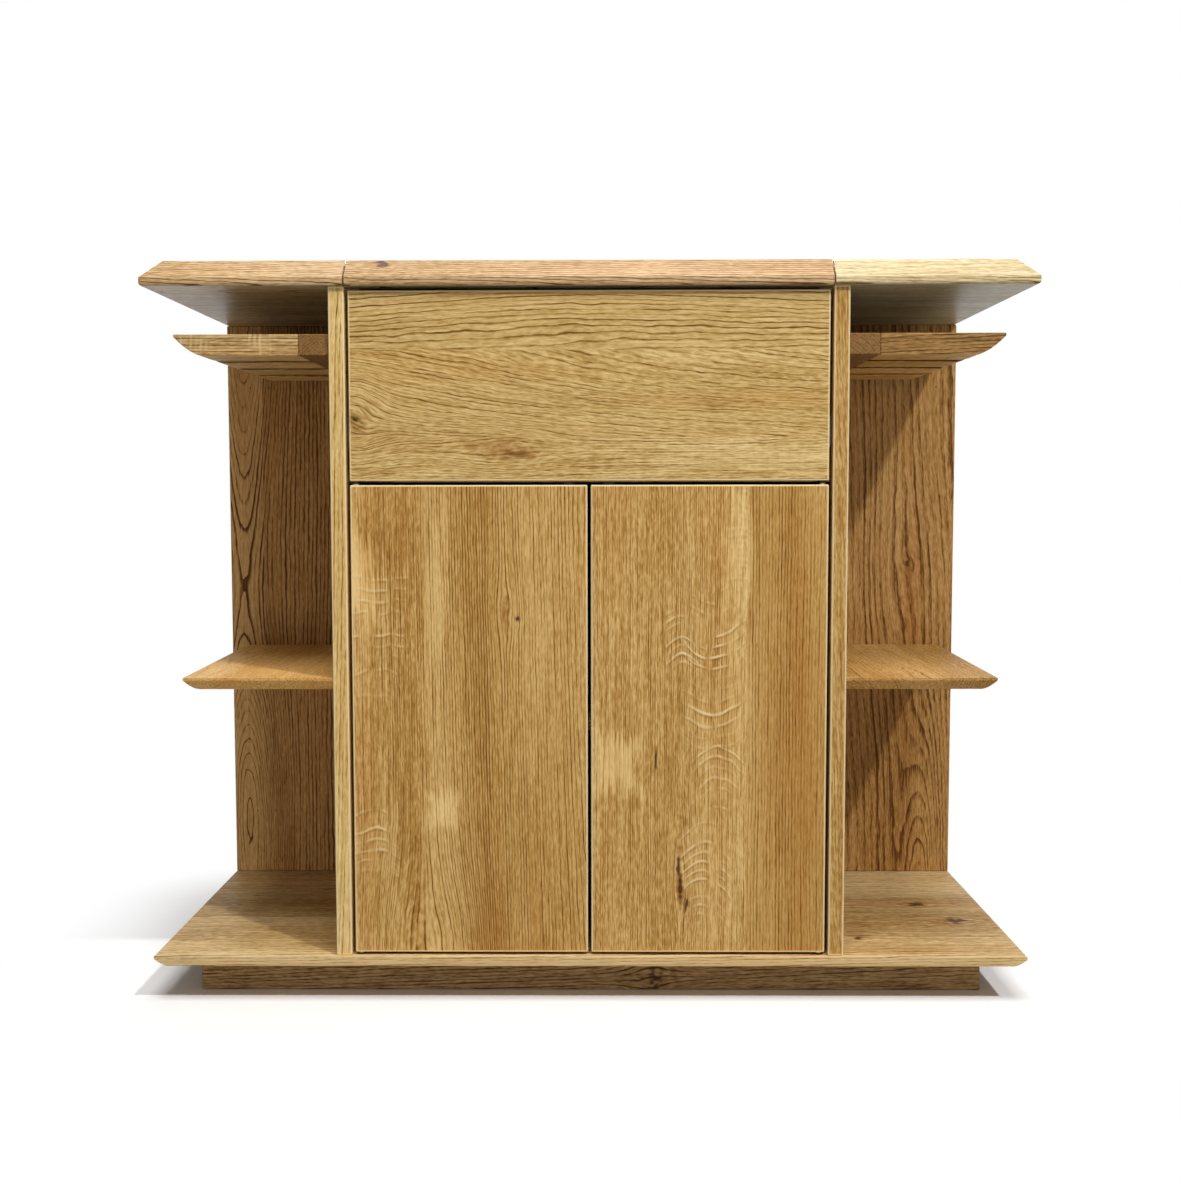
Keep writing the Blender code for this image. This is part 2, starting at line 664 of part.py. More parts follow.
def build_latch(side, hand, carrier):
    """A push latch under the divider, whose plunger meets the back of the shut door."""
    x = hand * LATCH_FROM_MIDDLE
    high = DIVIDER_LOW - FIT
    middle = (x, high - LATCH_H / 2)
    front_y = FACE_BACK_Y + LATCH_FRONT_GAP
    half = LATCH_W / 2
    outline = [(x - half, high - LATCH_H), (x + half, high - LATCH_H), (x + half, high), (x - half, high)]
    outline = rounded(outline, (LATCH_ROUND, LATCH_ROUND, 0, 0))
    body = add_object(
        f"latch_body_{side}", prism_shape(outline, front_y, front_y + LATCH_L, 1), GREY_PLASTIC)
    tip_y = FACE_BACK_Y + FIT
    bore_end = tip_y + PLUNGER_L + FIT
    combine(body, rod_shape(middle, PLUNGER_R + RUN, front_y - PLUNGER_L, bore_end, 1), "DIFFERENCE")
    shade_round(body)
    rod = rod_shape(middle, PLUNGER_R, tip_y, tip_y + PLUNGER_L, 1)
    plunger = add_object(f"latch_plunger_{side}", rod, GREY_PLASTIC, carrier)
    shade_round(plunger)


def main():
    clear_scene()
    lid_axis = pivot("lid_axis", (0, REAR_Y, TOP_UNDER))
    drawer_slide = pivot("drawer_slide", (0, FACE_Y, BOX_LOW))
    middle_slide = pivot("runner_middle_slide", (0, FACE_BACK_Y, BOX_LOW))
    build_plinth()
    build_base()
    build_sides()
    build_back()
    build_tops()
    build_lid(lid_axis)
    build_lid_rests()
    build_lid_hinges(lid_axis)
    build_bay_shelves()
    build_racks()
    build_divider()
    build_inner_shelf()
    build_drawer(drawer_slide)
    build_runners(drawer_slide, middle_slide)
    for side, hand in BAYS:
        build_door(side, hand, pivot(f"door_axis_{side}", (hand * PIVOT_X, PIVOT_Y, DOOR_LOW)))
        build_latch(side, hand, pivot(f"latch_slide_{side}", (0, FACE_BACK_Y, DIVIDER_LOW)))


main()
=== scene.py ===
"""Looks of the oak bar counter: oak boards, metal fittings, small fixings, studio and camera.

Metres, +Z up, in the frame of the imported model. A board's own directions are named as a joiner
names them: along its grain, across its face, and deep into its thickness.
"""
import math
import random
from typing import NamedTuple

import bmesh
import bpy
from mathutils import Matrix, Vector


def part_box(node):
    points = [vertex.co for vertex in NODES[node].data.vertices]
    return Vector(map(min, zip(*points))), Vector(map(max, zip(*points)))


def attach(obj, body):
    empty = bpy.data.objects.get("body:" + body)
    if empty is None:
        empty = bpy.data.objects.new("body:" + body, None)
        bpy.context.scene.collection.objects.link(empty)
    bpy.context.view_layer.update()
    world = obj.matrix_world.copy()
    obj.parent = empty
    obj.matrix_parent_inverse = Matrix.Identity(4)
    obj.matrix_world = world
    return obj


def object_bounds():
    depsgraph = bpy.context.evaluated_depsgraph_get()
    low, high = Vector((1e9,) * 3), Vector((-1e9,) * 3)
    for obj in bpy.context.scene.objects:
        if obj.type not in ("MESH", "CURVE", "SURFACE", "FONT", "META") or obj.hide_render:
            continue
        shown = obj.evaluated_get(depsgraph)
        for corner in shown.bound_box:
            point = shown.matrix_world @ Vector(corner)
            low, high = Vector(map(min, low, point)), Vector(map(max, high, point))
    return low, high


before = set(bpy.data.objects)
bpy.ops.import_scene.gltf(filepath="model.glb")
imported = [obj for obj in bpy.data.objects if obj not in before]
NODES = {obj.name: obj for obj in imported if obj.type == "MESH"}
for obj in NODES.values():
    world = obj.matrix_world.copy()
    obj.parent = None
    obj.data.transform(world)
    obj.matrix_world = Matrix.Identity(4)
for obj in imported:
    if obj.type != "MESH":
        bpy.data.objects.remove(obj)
CAD_BOX = [Vector(corner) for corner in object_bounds()]

# Camera, fitted to the photo's outline
PHOTO_SIDE = 1181
FOCAL_PX = 1386.0
SENSOR = 36.0
CAMERA_PLACE = (0.0171, -2.2699, 0.7557)
CAMERA_PITCH = 0.06773
CAMERA_YAW = -0.00748
CAMERA_ROLL = 0.00136

# How brightly the surround lights the counter, where 1 is white
SURROUND = 0.20

# Floor: pale near the counter, where it takes the shadow, and white further out
FLOOR_RADIUS = 9.0
FLOOR_SIDES = 96
FLOOR_DROP = 0.0005
FLOOR_FADE = (0.0, 0.30)
FLOOR_COLOUR = (0.94, 0.94, 0.94, 1.0)
FLOOR_BOUNCE = (0.22, 0.21, 0.20, 1.0)
WHITE = (1.0, 1.0, 1.0, 1.0)

# Screws and brads, with shares of a head's radius or rise
SCREW_SIDES = 24
BROW_SHARE = 0.86
MOUTH_SHARES = (0.56, 0.15)
RECESS_SHARES = (0.48, 0.11)
RECESS_FLOOR = 0.25
# The material slot of a recess floor, dark as painted shade
SHADED_RECESS_SLOT = 1
LEAF_GAP = 0.0004
HINGE_SCREW_PITCH = 0.025
HINGE_SCREW_INSET = 0.0053
HINGE_SCREW_RADIUS = 0.0026
HINGE_SCREW_RISE = 0.0001
PIVOT_PLATE = 0.0025
PIVOT_SCREW_INSETS = (0.0085, 0.0255)
PIVOT_SCREW_RADIUS = 0.0034
PIVOT_SCREW_RISE = 0.0011
BRAD_X = (-0.610, -0.576, 0.580, 0.615)
BRAD_Z = (0.184, 0.950)
BRAD_SIDES = 12
BRAD_RADIUS = 0.0014
BRAD_BROW_SHARE = 0.8
BRAD_RISE = 0.0002

SIDES = ("left", "right")


class Signal:
    """A number or colour that varies over a surface: a node's output that takes arithmetic."""

    def __init__(self, graph, socket):
        self.graph = graph
        self.socket = socket

    def __add__(self, other):
        return self.graph.math("ADD", self, other)

    def __radd__(self, other):
        return self.graph.math("ADD", other, self)

    def __sub__(self, other):
        return self.graph.math("SUBTRACT", self, other)

    def __rsub__(self, other):
        return self.graph.math("SUBTRACT", other, self)

    def __mul__(self, other):
        return self.graph.math("MULTIPLY", self, other)

    def __rmul__(self, other):
        return self.graph.math("MULTIPLY", other, self)

    def __truediv__(self, other):
        return self.graph.math("DIVIDE", self, other)

    def __abs__(self):
        return self.graph.math("ABSOLUTE", self)


class Graph:
    """One material's node tree, written as sums of signals."""

    def __init__(self, name):
        self.material = bpy.data.materials.new(name)
        self.material.use_nodes = True
        self.tree = self.material.node_tree
        self.shader = self.tree.nodes["Principled BSDF"]

    def node(self, kind, **settings):
        """A new shader node with some of its settings."""
        node = self.tree.nodes.new("ShaderNode" + kind)
        for key, value in settings.items():
            setattr(node, key, value)
        return node

    def feed(self, socket, value):
        """Links a signal to a socket, or sets a plain value on it."""
        if isinstance(value, Signal):
            self.tree.links.new(value.socket, socket)
        else:
            socket.default_value = value

    def surface(self, **inputs):
        """Sets inputs of the shader, with an underscore for each space in an input's name."""
        for key, value in inputs.items():
            self.feed(self.shader.inputs[key.replace("_", " ")], value)

    def math(self, operation, *values):
        """The result of one arithmetic node."""
        node = self.node("Math", operation=operation)
        for socket, value in zip(node.inputs, values):
            self.feed(socket, value)
        return Signal(self, node.outputs[0])

    def vector(self, x, y, z):
        """A vector from its three parts."""
        node = self.node("CombineXYZ")
        for socket, value in zip(node.inputs, (x, y, z)):
            self.feed(socket, value)
        return Signal(self, node.outputs[0])

    def split(self, vector):
        """The three parts of a vector."""
        node = self.node("SeparateXYZ")
        self.feed(node.inputs[0], vector)
        return [Signal(self, socket) for socket in node.outputs]

    def length(self, x, y):
        """How far a point lies from the origin of a plane."""
        node = self.node("VectorMath", operation="LENGTH")
        self.feed(node.inputs[0], self.vector(x, y, 0.0))
        return Signal(self, node.outputs["Value"])

    def coordinates(self, kind):
        """The three parts of a surface point's Object or Normal coordinate."""
        return self.split(Signal(self, self.node("TexCoord").outputs[kind]))

    def _noise(self, vector, scales, detail):
        mapping = self.node("Mapping")
        mapping.inputs["Scale"].default_value = scales
        self.feed(mapping.inputs["Vector"], vector)
        node = self.node("TexNoise")
        node.inputs["Scale"].default_value = 1.0
        node.inputs["Detail"].default_value = detail
        self.feed(node.inputs["Vector"], Signal(self, mapping.outputs[0]))
        return node

    def noise(self, vector, scales, detail=1.0):
        """Smooth noise from 0 to 1, with so many waves to the metre in each direction."""
        return Signal(self, self._noise(vector, scales, detail).outputs["Fac"])

    def wander(self, vector, scales):
        """Two independent noises, each from about -0.5 to 0.5."""
        node = self._noise(vector, scales, detail=1.0)
        first, second, _ = self.split(Signal(self, node.outputs["Color"]))
        return first - 0.5, second - 0.5

    def scatter(self, number):
        """A random number from 0 to 1 for each whole number."""
        node = self.node("TexWhiteNoise", noise_dimensions="1D")
        self.feed(node.inputs["W"], number)
        return Signal(self, node.outputs["Value"])

    def fade(self, signal, start, end):
        """Rises smoothly from 0 at start to 1 at end, whichever of the two is larger."""
        node = self.node("MapRange", interpolation_type="SMOOTHSTEP")
        self.feed(node.inputs["Value"], signal)
        self.feed(node.inputs["From Min"], start)
        self.feed(node.inputs["From Max"], end)
        return Signal(self, node.outputs["Result"])

    def steps(self, position, edges, values):
        """The first value up to the first edge, the next up to the second, and so on."""
        total = values[0]
        for edge, before, after in zip(edges, values, values[1:]):
            if after != before:
                total += self.math("GREATER_THAN", position, edge) * (after - before)
        return total

    def ramp(self, signal, stops):
        """A colour that follows a signal, blended from stop to stop."""
        node = self.node("ValToRGB")
        points = node.color_ramp.elements
        while len(points) < len(stops):
            points.new(0.5)
        for point, (place, colour) in zip(points, stops):
            point.position = place
            point.color = (*colour, 1.0)
        self.feed(node.inputs["Fac"], signal)
        return Signal(self, node.outputs["Color"])

    def tint(self, colour, factor, blend, other):
        """Blends another colour over a colour."""
        node = self.node("Mix", data_type="RGBA", blend_type=blend)
        self.feed(node.inputs[0], factor)
        self.feed(node.inputs[6], colour)
        self.feed(node.inputs[7], (*other, 1.0))
        return Signal(self, node.outputs[2])

    def bump(self, height, depth, strength):
        """A normal that leans as a height from 0 to 1 rises and falls over a depth in metres."""
        node = self.node("Bump")
        node.inputs["Distance"].default_value = depth
        node.inputs["Strength"].default_value = strength
        self.feed(node.inputs["Height"], height)
        return Signal(self, node.outputs["Normal"])

    def plain(self, kind, colour):
        """A shader of one colour."""
        node = self.node(kind)
        node.inputs["Color"].default_value = colour
        return node

    def blend(self, factor, first, second):
        """A mix of two shaders."""
        node = self.node("MixShader")
        self.feed(node.inputs[0], factor)
        self.tree.links.new(first.outputs[0], node.inputs[1])
        self.tree.links.new(second.outputs[0], node.inputs[2])
        return node


class Strip(NamedTuple):
    """One of the strips that a board is glued up from, and how it was sawn from its log."""
    edge: float
    heart_across: float
    heart_deep: float
    ring: float = 0.0035
    lean: float = 0.0
    dive: float = 0.0
    tone: float = 0.0
    seed: float = 0.0
    lines: float = 1.0
    line_width: float = 0.5
    speckle: float = 1.0


class Knot(NamedTuple):
    """A knot, by its middle and half sizes, and how strongly the grain bends round it.

    One that lies below the surface shows only as a warm halo, or not at all, and bends the grain.
    """
    along: float
    across: float
    length: float
    width: float
    bend: float = 0.75
    dark: float = 0.9
    halo: float = 0.45


class Patch(NamedTuple):
    """A place that is paler or darker, with ripples of pale rays where the saw ran with them."""
    along: float
    across: float
    length: float
    width: float
    pitch: float = 0.016
    sag: float = 0.0
    pale: float = 0.3
    ripple: float = 0.8
    slant: float = 0.0


class Swell(NamedTuple):
    """A swelling of the log, from its foot to its peak and down to its end, that arches so many rings."""
    across: float
    width: float
    foot: float
    peak: float
    end: float
    rings: float


class Band(NamedTuple):
    """A streak along the grain that is paler or darker than the rest, or has bolder lines."""
    across: float
    width: float
    tone: float = 0.0
    lines: float = 0.0


def linear(red, green, blue):
    """A colour in linear light, from the 0 to 255 values that a picture stores."""
    shares = (red / 255, green / 255, blue / 255)
    return tuple(c / 12.92 if c <= 0.04045 else ((c + 0.055) / 1.055) ** 2.4 for c in shares)


class Tone(NamedTuple):
    """Colours of one piece of oak, from 0 to 255: at its palest, on average, and in its dark lines."""
    bright: tuple
    mean: tuple
    deep: tuple


DOOR_OAK = Tone((242, 207, 141), (183, 138, 70), (139, 94, 36))
DRAWER_OAK = Tone((244, 215, 153), (190, 155, 90), (140, 103, 47))
TOP_OAK = Tone((241, 208, 166), (165, 126, 66), (108, 72, 30))
PALE_TOP_OAK = Tone((252, 244, 206), (193, 168, 114), (142, 114, 66))
EDGE_OAK = Tone((234, 200, 138), (180, 137, 70), (134, 91, 36))
PALE_EDGE_OAK = Tone((248, 220, 158), (210, 175, 104), (160, 118, 56))
BACK_OAK = Tone((228, 186, 124), (175, 130, 71), (117, 77, 34))
SHELF_OAK = Tone((222, 181, 118), (161, 118, 56), (114, 74, 30))
PALE_SHELF_OAK = Tone((238, 200, 134), (199, 149, 77), (146, 97, 42))
BASE_OAK = Tone((226, 198, 146), (172, 138, 82), (112, 76, 34))
PLINTH_OAK = Tone((200, 164, 114), (148, 113, 68), (92, 62, 30))
RACK_OAK = Tone((226, 196, 144), (162, 129, 76), (108, 76, 36))
BROWN_RACK_OAK = Tone((196, 156, 100), (140, 103, 56), (92, 60, 26))
SPINE_OAK = Tone((166, 130, 82), (122, 90, 52), (84, 56, 26))
INSIDE_OAK = Tone((232, 204, 158), (192, 158, 106), (144, 108, 62))


class Board(NamedTuple):
    """What an oak material needs: its axes along, across and deep, its colours, strips and marks.

    Cheeks are the faces that look across the board. A board with a box has a painted highlight along its
    arrises.
    """
    axes: str
    tone: Tone
    strips: tuple
    knots: tuple = ()
    patches: tuple = ()
    bands: tuple = ()
    swells: tuple = ()
    sway: float = 0.010
    ripple: float = 0.0015
    wobble: float = 0.7
    contrast: float = 1.0
    cloud: float = 0.32
    gloss: float = 0.10
    rough: float = 0.48
    underside: tuple = (1.0, 1.0, 1.0)
    cheeks: tuple = (1.0, 1.0, 1.0)
    box: tuple = None


# Waves to the metre, along, across and into the grain
SWAY_WAVES = (1.6, 7.0, 7.0)
RIPPLE_WAVES = (28.0, 40.0, 40.0)
JITTER_WAVES = (20.0, 60.0, 60.0)
CLOUD_WAVES = (1.4, 10.0, 10.0)
DASH_WAVES = (9.0, 330.0, 330.0)
SPARK_WAVES = (78.0, 430.0, 430.0)
PORE_WAVES = (55.0, 520.0, 520.0)
BREAK_WAVES = (16.0, 34.0, 34.0)
BEND_WAVES = (12.0, 24.0, 24.0)
WARM_WAVES = (1.1, 13.0, 13.0)

# How far apart in the noise the strips lie, for each unit of their seeds
SEED_ALONG = 1.7
SEED_ACROSS = 0.37

# Each year's dark line: how slanting cuts and swellings thin it, how soon it rises, how faint it may be
FLATTEST_CUT = 0.12
CUT_POWER = 0.6
SWELL_THINNING = 0.6
LINE_RISE = 0.08
FAINTEST_LINE = 0.20

# How much each mark darkens or pales the wood
LINE_WEIGHT = 0.55
DASH_WEIGHT = 0.22
SPARK_WEIGHT = 0.24
PORE_WEIGHT = 0.26
GRAIN_MEAN = 0.16
GROUND_LIFT = 0.28
RIPPLE_SHADOW_WEIGHT = 0.16

# Rays: how thick, in metres, how far they bend, and which are missing or faint
RAY_LINE = 0.0030
RAY_BEND = 1.6
RAY_CHANCE = (0.05, 0.70)

# Where a noise or a patch begins to show, and where it shows in full
DASH_SHOWS = (0.30, 0.70)
SPARK_SHOWS = (0.32, 0.70)
PORE_SHOWS = (0.52, 0.68)
BREAK_SHOWS = (0.36, 0.56)
WARM_SHOWS = (0.45, 0.75)
PATCH_SHOWS = (1.20, 0.45)

# Colours and tints, how far each reaches, and the relief of the grain
WARM_TINT = (0.90, 0.80, 0.68)
PORE_SHARES = (0.62, 0.54, 0.36)
MEAN_PLACE = 0.5
DEEP_PLACE = 0.8
RAY_COLOUR = linear(236, 208, 152)
RAY_VEIL = 0.35
# Painted highlight on the arrises: its colour, how far in it reaches, and how strongly it shows
ARRIS_HIGHLIGHT_COLOUR = linear(240, 218, 168)
ARRIS_HIGHLIGHT_REACH = (0.0032, 0.0015)
ARRIS_HIGHLIGHT_STRENGTH = 0.85
KNOT_COLOUR = linear(66, 38, 16)
KNOT_HALO = linear(146, 92, 34)
KNOT_REACH = 1.2
HALO_REACH = 2.4
BEND_REACH = (3.2, 4.0)
FACING = (0.55, 0.9)
FACING_DOWN = (-0.35, -0.60)
END_GRAIN = (1.0, 0.97, 0.92)
# Painted shade on the cheeks of the rails that stand inside the rack's slots
SLOT_SHADE = (0.52, 0.49, 0.46)
GRAIN_RELIEF = 0.0006
GRAIN_BUMP = 0.55


def bend_round_knot(graph, knot, along, across, side):
    """Pushes the grain aside so that it runs round a knot."""
    lengthways = (along - knot.along) / (BEND_REACH[0] * knot.length)
    sideways = (across - knot.across) / (BEND_REACH[1] * knot.width)
    far = graph.length(lengthways, sideways)
    nearness = graph.math("EXPONENT", far * far * -1.0)
    return side - (across - knot.across) * nearness * knot.bend


def knot_core(graph, knot, along, across, ragged, reach):
    """1 in the middle of a knot, falling to 0 at so many times its half sizes."""
    far = graph.length((along - knot.along) / knot.length, (across - knot.across) / knot.width)
    return graph.fade(far + ragged, reach, 0.35 * reach)


def within_band(graph, band, across):
    """1 in the middle of a band, falling away to both sides."""
    off = (across - band.across) / band.width
    return graph.math("EXPONENT", off * off * -1.0)


def swelling(graph, swell, along, across):
    """1 on the peak of a swelling of the log, falling away all round."""
    lengthways = graph.fade(along, swell.foot, swell.peak) - graph.fade(along, swell.peak, swell.end)
    return within_band(graph, swell, across) * lengthways


def ray_ripples(graph, patch, along, across, break_up, bend, streaks):
    """How far a patch pales the wood, and how strongly its ripples and the painted shadow line below each
    show.
    """
    aside = (across - patch.across) / patch.width
    far = graph.math("MAXIMUM", abs(along - patch.along) / patch.length, abs(aside))
    inside = graph.fade(far + (break_up - 0.5) * 0.9 + streaks * 0.5, *PATCH_SHOWS)
    wave = along / patch.pitch + aside * patch.slant + aside * aside * patch.sag + bend * RAY_BEND
    chance = graph.scatter(graph.math("FLOOR", wave))
    broken = graph.fade(break_up, *BREAK_SHOWS) * inside * patch.ripple * graph.fade(chance, *RAY_CHANCE)
    thin = RAY_LINE / patch.pitch
    crest = graph.fade(abs(graph.math("FRACT", wave) - 0.5), thin, 0.25 * thin)
    # Painted shadow: a dark line just below each ripple's crest
    ripple_shadow = graph.fade(abs(graph.math("FRACT", wave + 1.1 * thin) - 0.5), thin, 0.25 * thin)
    return inside * patch.pale, broken * crest, broken * ripple_shadow


def painted_arris_highlight(graph, place, box):
    """1 on the arrises of a board, falling to 0 a few millimetres in, where a highlight is painted."""
    low, high = box
    inset = []
    for axis, near, far in zip("XYZ", low, high):
        inset.append((far - near) / 2 - abs(place[axis] - (near + far) / 2))
    least = graph.math("MINIMUM", graph.math("MINIMUM", inset[0], inset[1]), inset[2])
    most = graph.math("MAXIMUM", graph.math("MAXIMUM", inset[0], inset[1]), inset[2])
    return graph.fade(inset[0] + inset[1] + inset[2] - least - most, *ARRIS_HIGHLIGHT_REACH)


class Oak:
    """Builds one board's oiled oak, with rings that follow from where its log's heart lies."""

    def __init__(self, name, board):
        self.board = board
        self.graph = Graph(name)
        self.place = dict(zip("XYZ", self.graph.coordinates("Object")))
        self.along, self.across, self.deep = (self.place[axis] for axis in board.axes)
        self.lay_grain()
        self.draw_rings()
        self.draw_specks()
        self.draw_rays()
        self.finish(self.mark(self.paint()))

    def per_strip(self, field):
        """A value that switches from strip to strip across the board."""
        edges = [strip.edge for strip in self.board.strips[1:]]
        return self.graph.steps(self.across, edges, [getattr(strip, field) for strip in self.board.strips])

    def lay_grain(self):
        """Where each point lay in its log, a little bent and pushed aside by knots."""
        graph, board = self.graph, self.board
        seed = self.per_strip("seed")
        self.own = graph.vector(self.along + SEED_ALONG * seed, self.across + SEED_ACROSS * seed, self.deep)
        sway_across, sway_deep = graph.wander(self.own, SWAY_WAVES)
        ripple, _ = graph.wander(self.own, RIPPLE_WAVES)
        bent = sway_across * board.sway + ripple * board.ripple
        self.side = self.across + bent + self.along * self.per_strip("lean")
        self.depth = self.deep + sway_deep * board.sway + self.along * self.per_strip("dive")
        for knot in board.knots:
            self.side = bend_round_knot(graph, knot, self.along, self.across, self.side)
        self.flow = graph.vector(self.along + SEED_ALONG * seed, self.side + SEED_ACROSS * seed, self.depth)

    def draw_rings(self):
        """Dark lines where the face cuts each year's open-pored wood, thinner where it cuts aslant."""
        graph, board = self.graph, self.board
        self.jitter = graph.noise(self.flow, JITTER_WAVES, 2.0) - 0.5
        off_side = self.side - self.per_strip("heart_across")
        radius = graph.length(off_side, self.depth - self.per_strip("heart_deep"))
        slant = graph.math("MAXIMUM", abs(off_side) / radius, FLATTEST_CUT)
        thinning = graph.math("POWER", slant, CUT_POWER)
        rings = radius / self.per_strip("ring") + self.jitter * board.wobble
        for swell in board.swells:
            hump = swelling(graph, swell, self.along, self.across)
            rings += hump * swell.rings
            thinning *= 1.0 - SWELL_THINNING * hump
        phase = graph.math("FRACT", rings) / thinning
        strength = FAINTEST_LINE + (1.0 - FAINTEST_LINE) * graph.scatter(graph.math("FLOOR", rings))
        for band in board.bands:
            if band.lines:
                strength *= 1.0 + band.lines * within_band(graph, band, self.across)
        fall = graph.fade(phase, self.per_strip("line_width"), LINE_RISE)
        rise = graph.fade(phase, 0.0, LINE_RISE)
        self.early = fall * rise * strength

    def draw_specks(self):
        """Fine dashes, sparks and pores along the grain, and the drift of pale and dark over the board."""
        graph, board = self.graph, self.board
        self.dash = graph.fade(graph.noise(self.flow, DASH_WAVES, 2.0), *DASH_SHOWS) - 0.5
        self.spark = graph.fade(graph.noise(self.flow, SPARK_WAVES, 1.0), *SPARK_SHOWS) - 0.5
        self.early *= 0.85 + 0.7 * self.dash
        pores = graph.fade(graph.noise(self.flow, PORE_WAVES, 1.0), *PORE_SHOWS)
        self.pores = pores * (0.4 + 0.6 * self.early)
        specks = self.per_strip("speckle") * (DASH_WEIGHT * self.dash - SPARK_WEIGHT * self.spark)
        grain = self.per_strip("lines") * LINE_WEIGHT * self.early + specks + PORE_WEIGHT * self.pores
        cloud = graph.noise(self.own, CLOUD_WAVES, 2.0) - 0.5
        darkness = MEAN_PLACE + board.contrast * (grain - GRAIN_MEAN) + board.cloud * cloud
        self.darkness = darkness - self.per_strip("tone")
        for band in board.bands:
            if band.tone:
                self.darkness -= band.tone * within_band(graph, band, self.across)

    def draw_rays(self):
        """Pale ripples, in the places where the saw ran with the rays, with a painted shadow line below
        each.
        """
        graph = self.graph
        self.rays = 0.0
        break_up = graph.noise(self.own, BREAK_WAVES, 1.0)
        bend, _ = graph.wander(self.own, BEND_WAVES)
        for patch in self.board.patches:
            ground, crest, ripple_shadow = ray_ripples(
                graph, patch, self.along, self.across, break_up, bend, self.dash)
            if patch.pale > 0.0:
                self.darkness -= ground * RAY_VEIL * (self.darkness - MEAN_PLACE)
            self.darkness -= GROUND_LIFT * ground
            if patch.ripple:
                # Painted shadow below each ripple
                self.darkness += RIPPLE_SHADOW_WEIGHT * ripple_shadow
                self.rays = crest + self.rays

    def paint(self):
        """The wood's colour, from its darkness, with warmer streaks, pale rays and a painted highlight on
        the arrises.
        """
        graph = self.graph
        bright, mean, deep = (linear(*colour) for colour in self.board.tone)
        pit = tuple(share * c for share, c in zip(PORE_SHARES, deep))
        stops = [(0.0, bright), (MEAN_PLACE, mean), (DEEP_PLACE, deep), (1.0, pit)]
        colour = graph.ramp(self.darkness, stops)
        warmth = graph.fade(graph.noise(self.own, WARM_WAVES, 2.0), *WARM_SHOWS)
        colour = graph.tint(colour, warmth, "MULTIPLY", WARM_TINT)
        if self.board.patches:
            colour = graph.tint(colour, self.rays, "MIX", RAY_COLOUR)
        if self.board.box:
            # Painted highlight: the arrises are tinted pale, as if they caught the light
            arris_highlight = painted_arris_highlight(graph, self.place, self.board.box)
            colour = graph.tint(colour, ARRIS_HIGHLIGHT_STRENGTH * arris_highlight, "MIX", ARRIS_HIGHLIGHT_COLOUR)
        return colour

    def mark(self, colour):
        """Adds knots, the tints of end grain, painted shade on cheeks, and painted light on faces that look
        down.
        """
        graph = self.graph
        ragged = self.jitter * 2.2 + self.dash * 0.5 + self.spark * 0.8
        for knot in self.board.knots:
            if knot.halo:
                halo = knot_core(graph, knot, self.along, self.across, ragged, HALO_REACH)
                colour = graph.tint(colour, halo * knot.halo, "MIX", KNOT_HALO)
            if knot.dark:
                core = knot_core(graph, knot, self.along, self.across, ragged, KNOT_REACH)
                colour = graph.tint(colour, core * knot.dark, "MIX", KNOT_COLOUR)
        normal = dict(zip("XYZ", graph.coordinates("Normal")))
        end_grain = graph.fade(abs(normal[self.board.axes[0]]), *FACING)
        colour = graph.tint(colour, end_grain, "MULTIPLY", END_GRAIN)
        # Painted shade: cheeks are darkened by their tint, on the rails inside the slots
        cheek = graph.fade(abs(normal[self.board.axes[1]]), *FACING)
        colour = graph.tint(colour, cheek, "MULTIPLY", self.board.cheeks)
        # Painted light: faces that look down are lightened by their tint
        facing_down = graph.fade(normal["Z"], *FACING_DOWN)
        return graph.tint(colour, facing_down, "MULTIPLY", self.board.underside)

    def finish(self, colour):
        """A thin oil finish over open pores."""
        graph, board = self.graph, self.board
        raised = self.spark * 0.4 + self.rays * 0.9
        sunk = self.pores * 0.6 + self.early * 0.5 + self.dash * 0.4
        graph.surface(
            Base_Color=colour,
            Roughness=board.rough + 0.14 * self.pores - 0.08 * self.spark,
            Specular_IOR_Level=board.gloss,
            Normal=graph.bump(raised - sunk, GRAIN_RELIEF, GRAIN_BUMP))


def oak(name, board):
    """A named oak material for a board."""
    return Oak(name, board).graph.material


def glue_up(low, high, width, seed, deep, lines=1.0, speckle=1.0):
    """Strips of about one width from low to high, each from a log of its own."""
    rng = random.Random(seed)
    count = max(1, round((high - low) / width))
    strips = []
    for k in range(count):
        edge = low + (high - low) * k / count
        strips.append(Strip(
            edge=edge,
            heart_across=edge + width * rng.uniform(-1.2, 2.2),
            heart_deep=rng.choice((-1, 1)) * rng.uniform(0.03, 0.12) + deep,
            ring=rng.uniform(0.0030, 0.0048),
            lean=rng.uniform(-0.012, 0.012),
            dive=rng.uniform(-0.05, 0.05),
            tone=rng.uniform(-0.06, 0.06),
            seed=rng.uniform(0.0, 9.0),
            lines=lines,
            speckle=speckle))
    return tuple(strips)


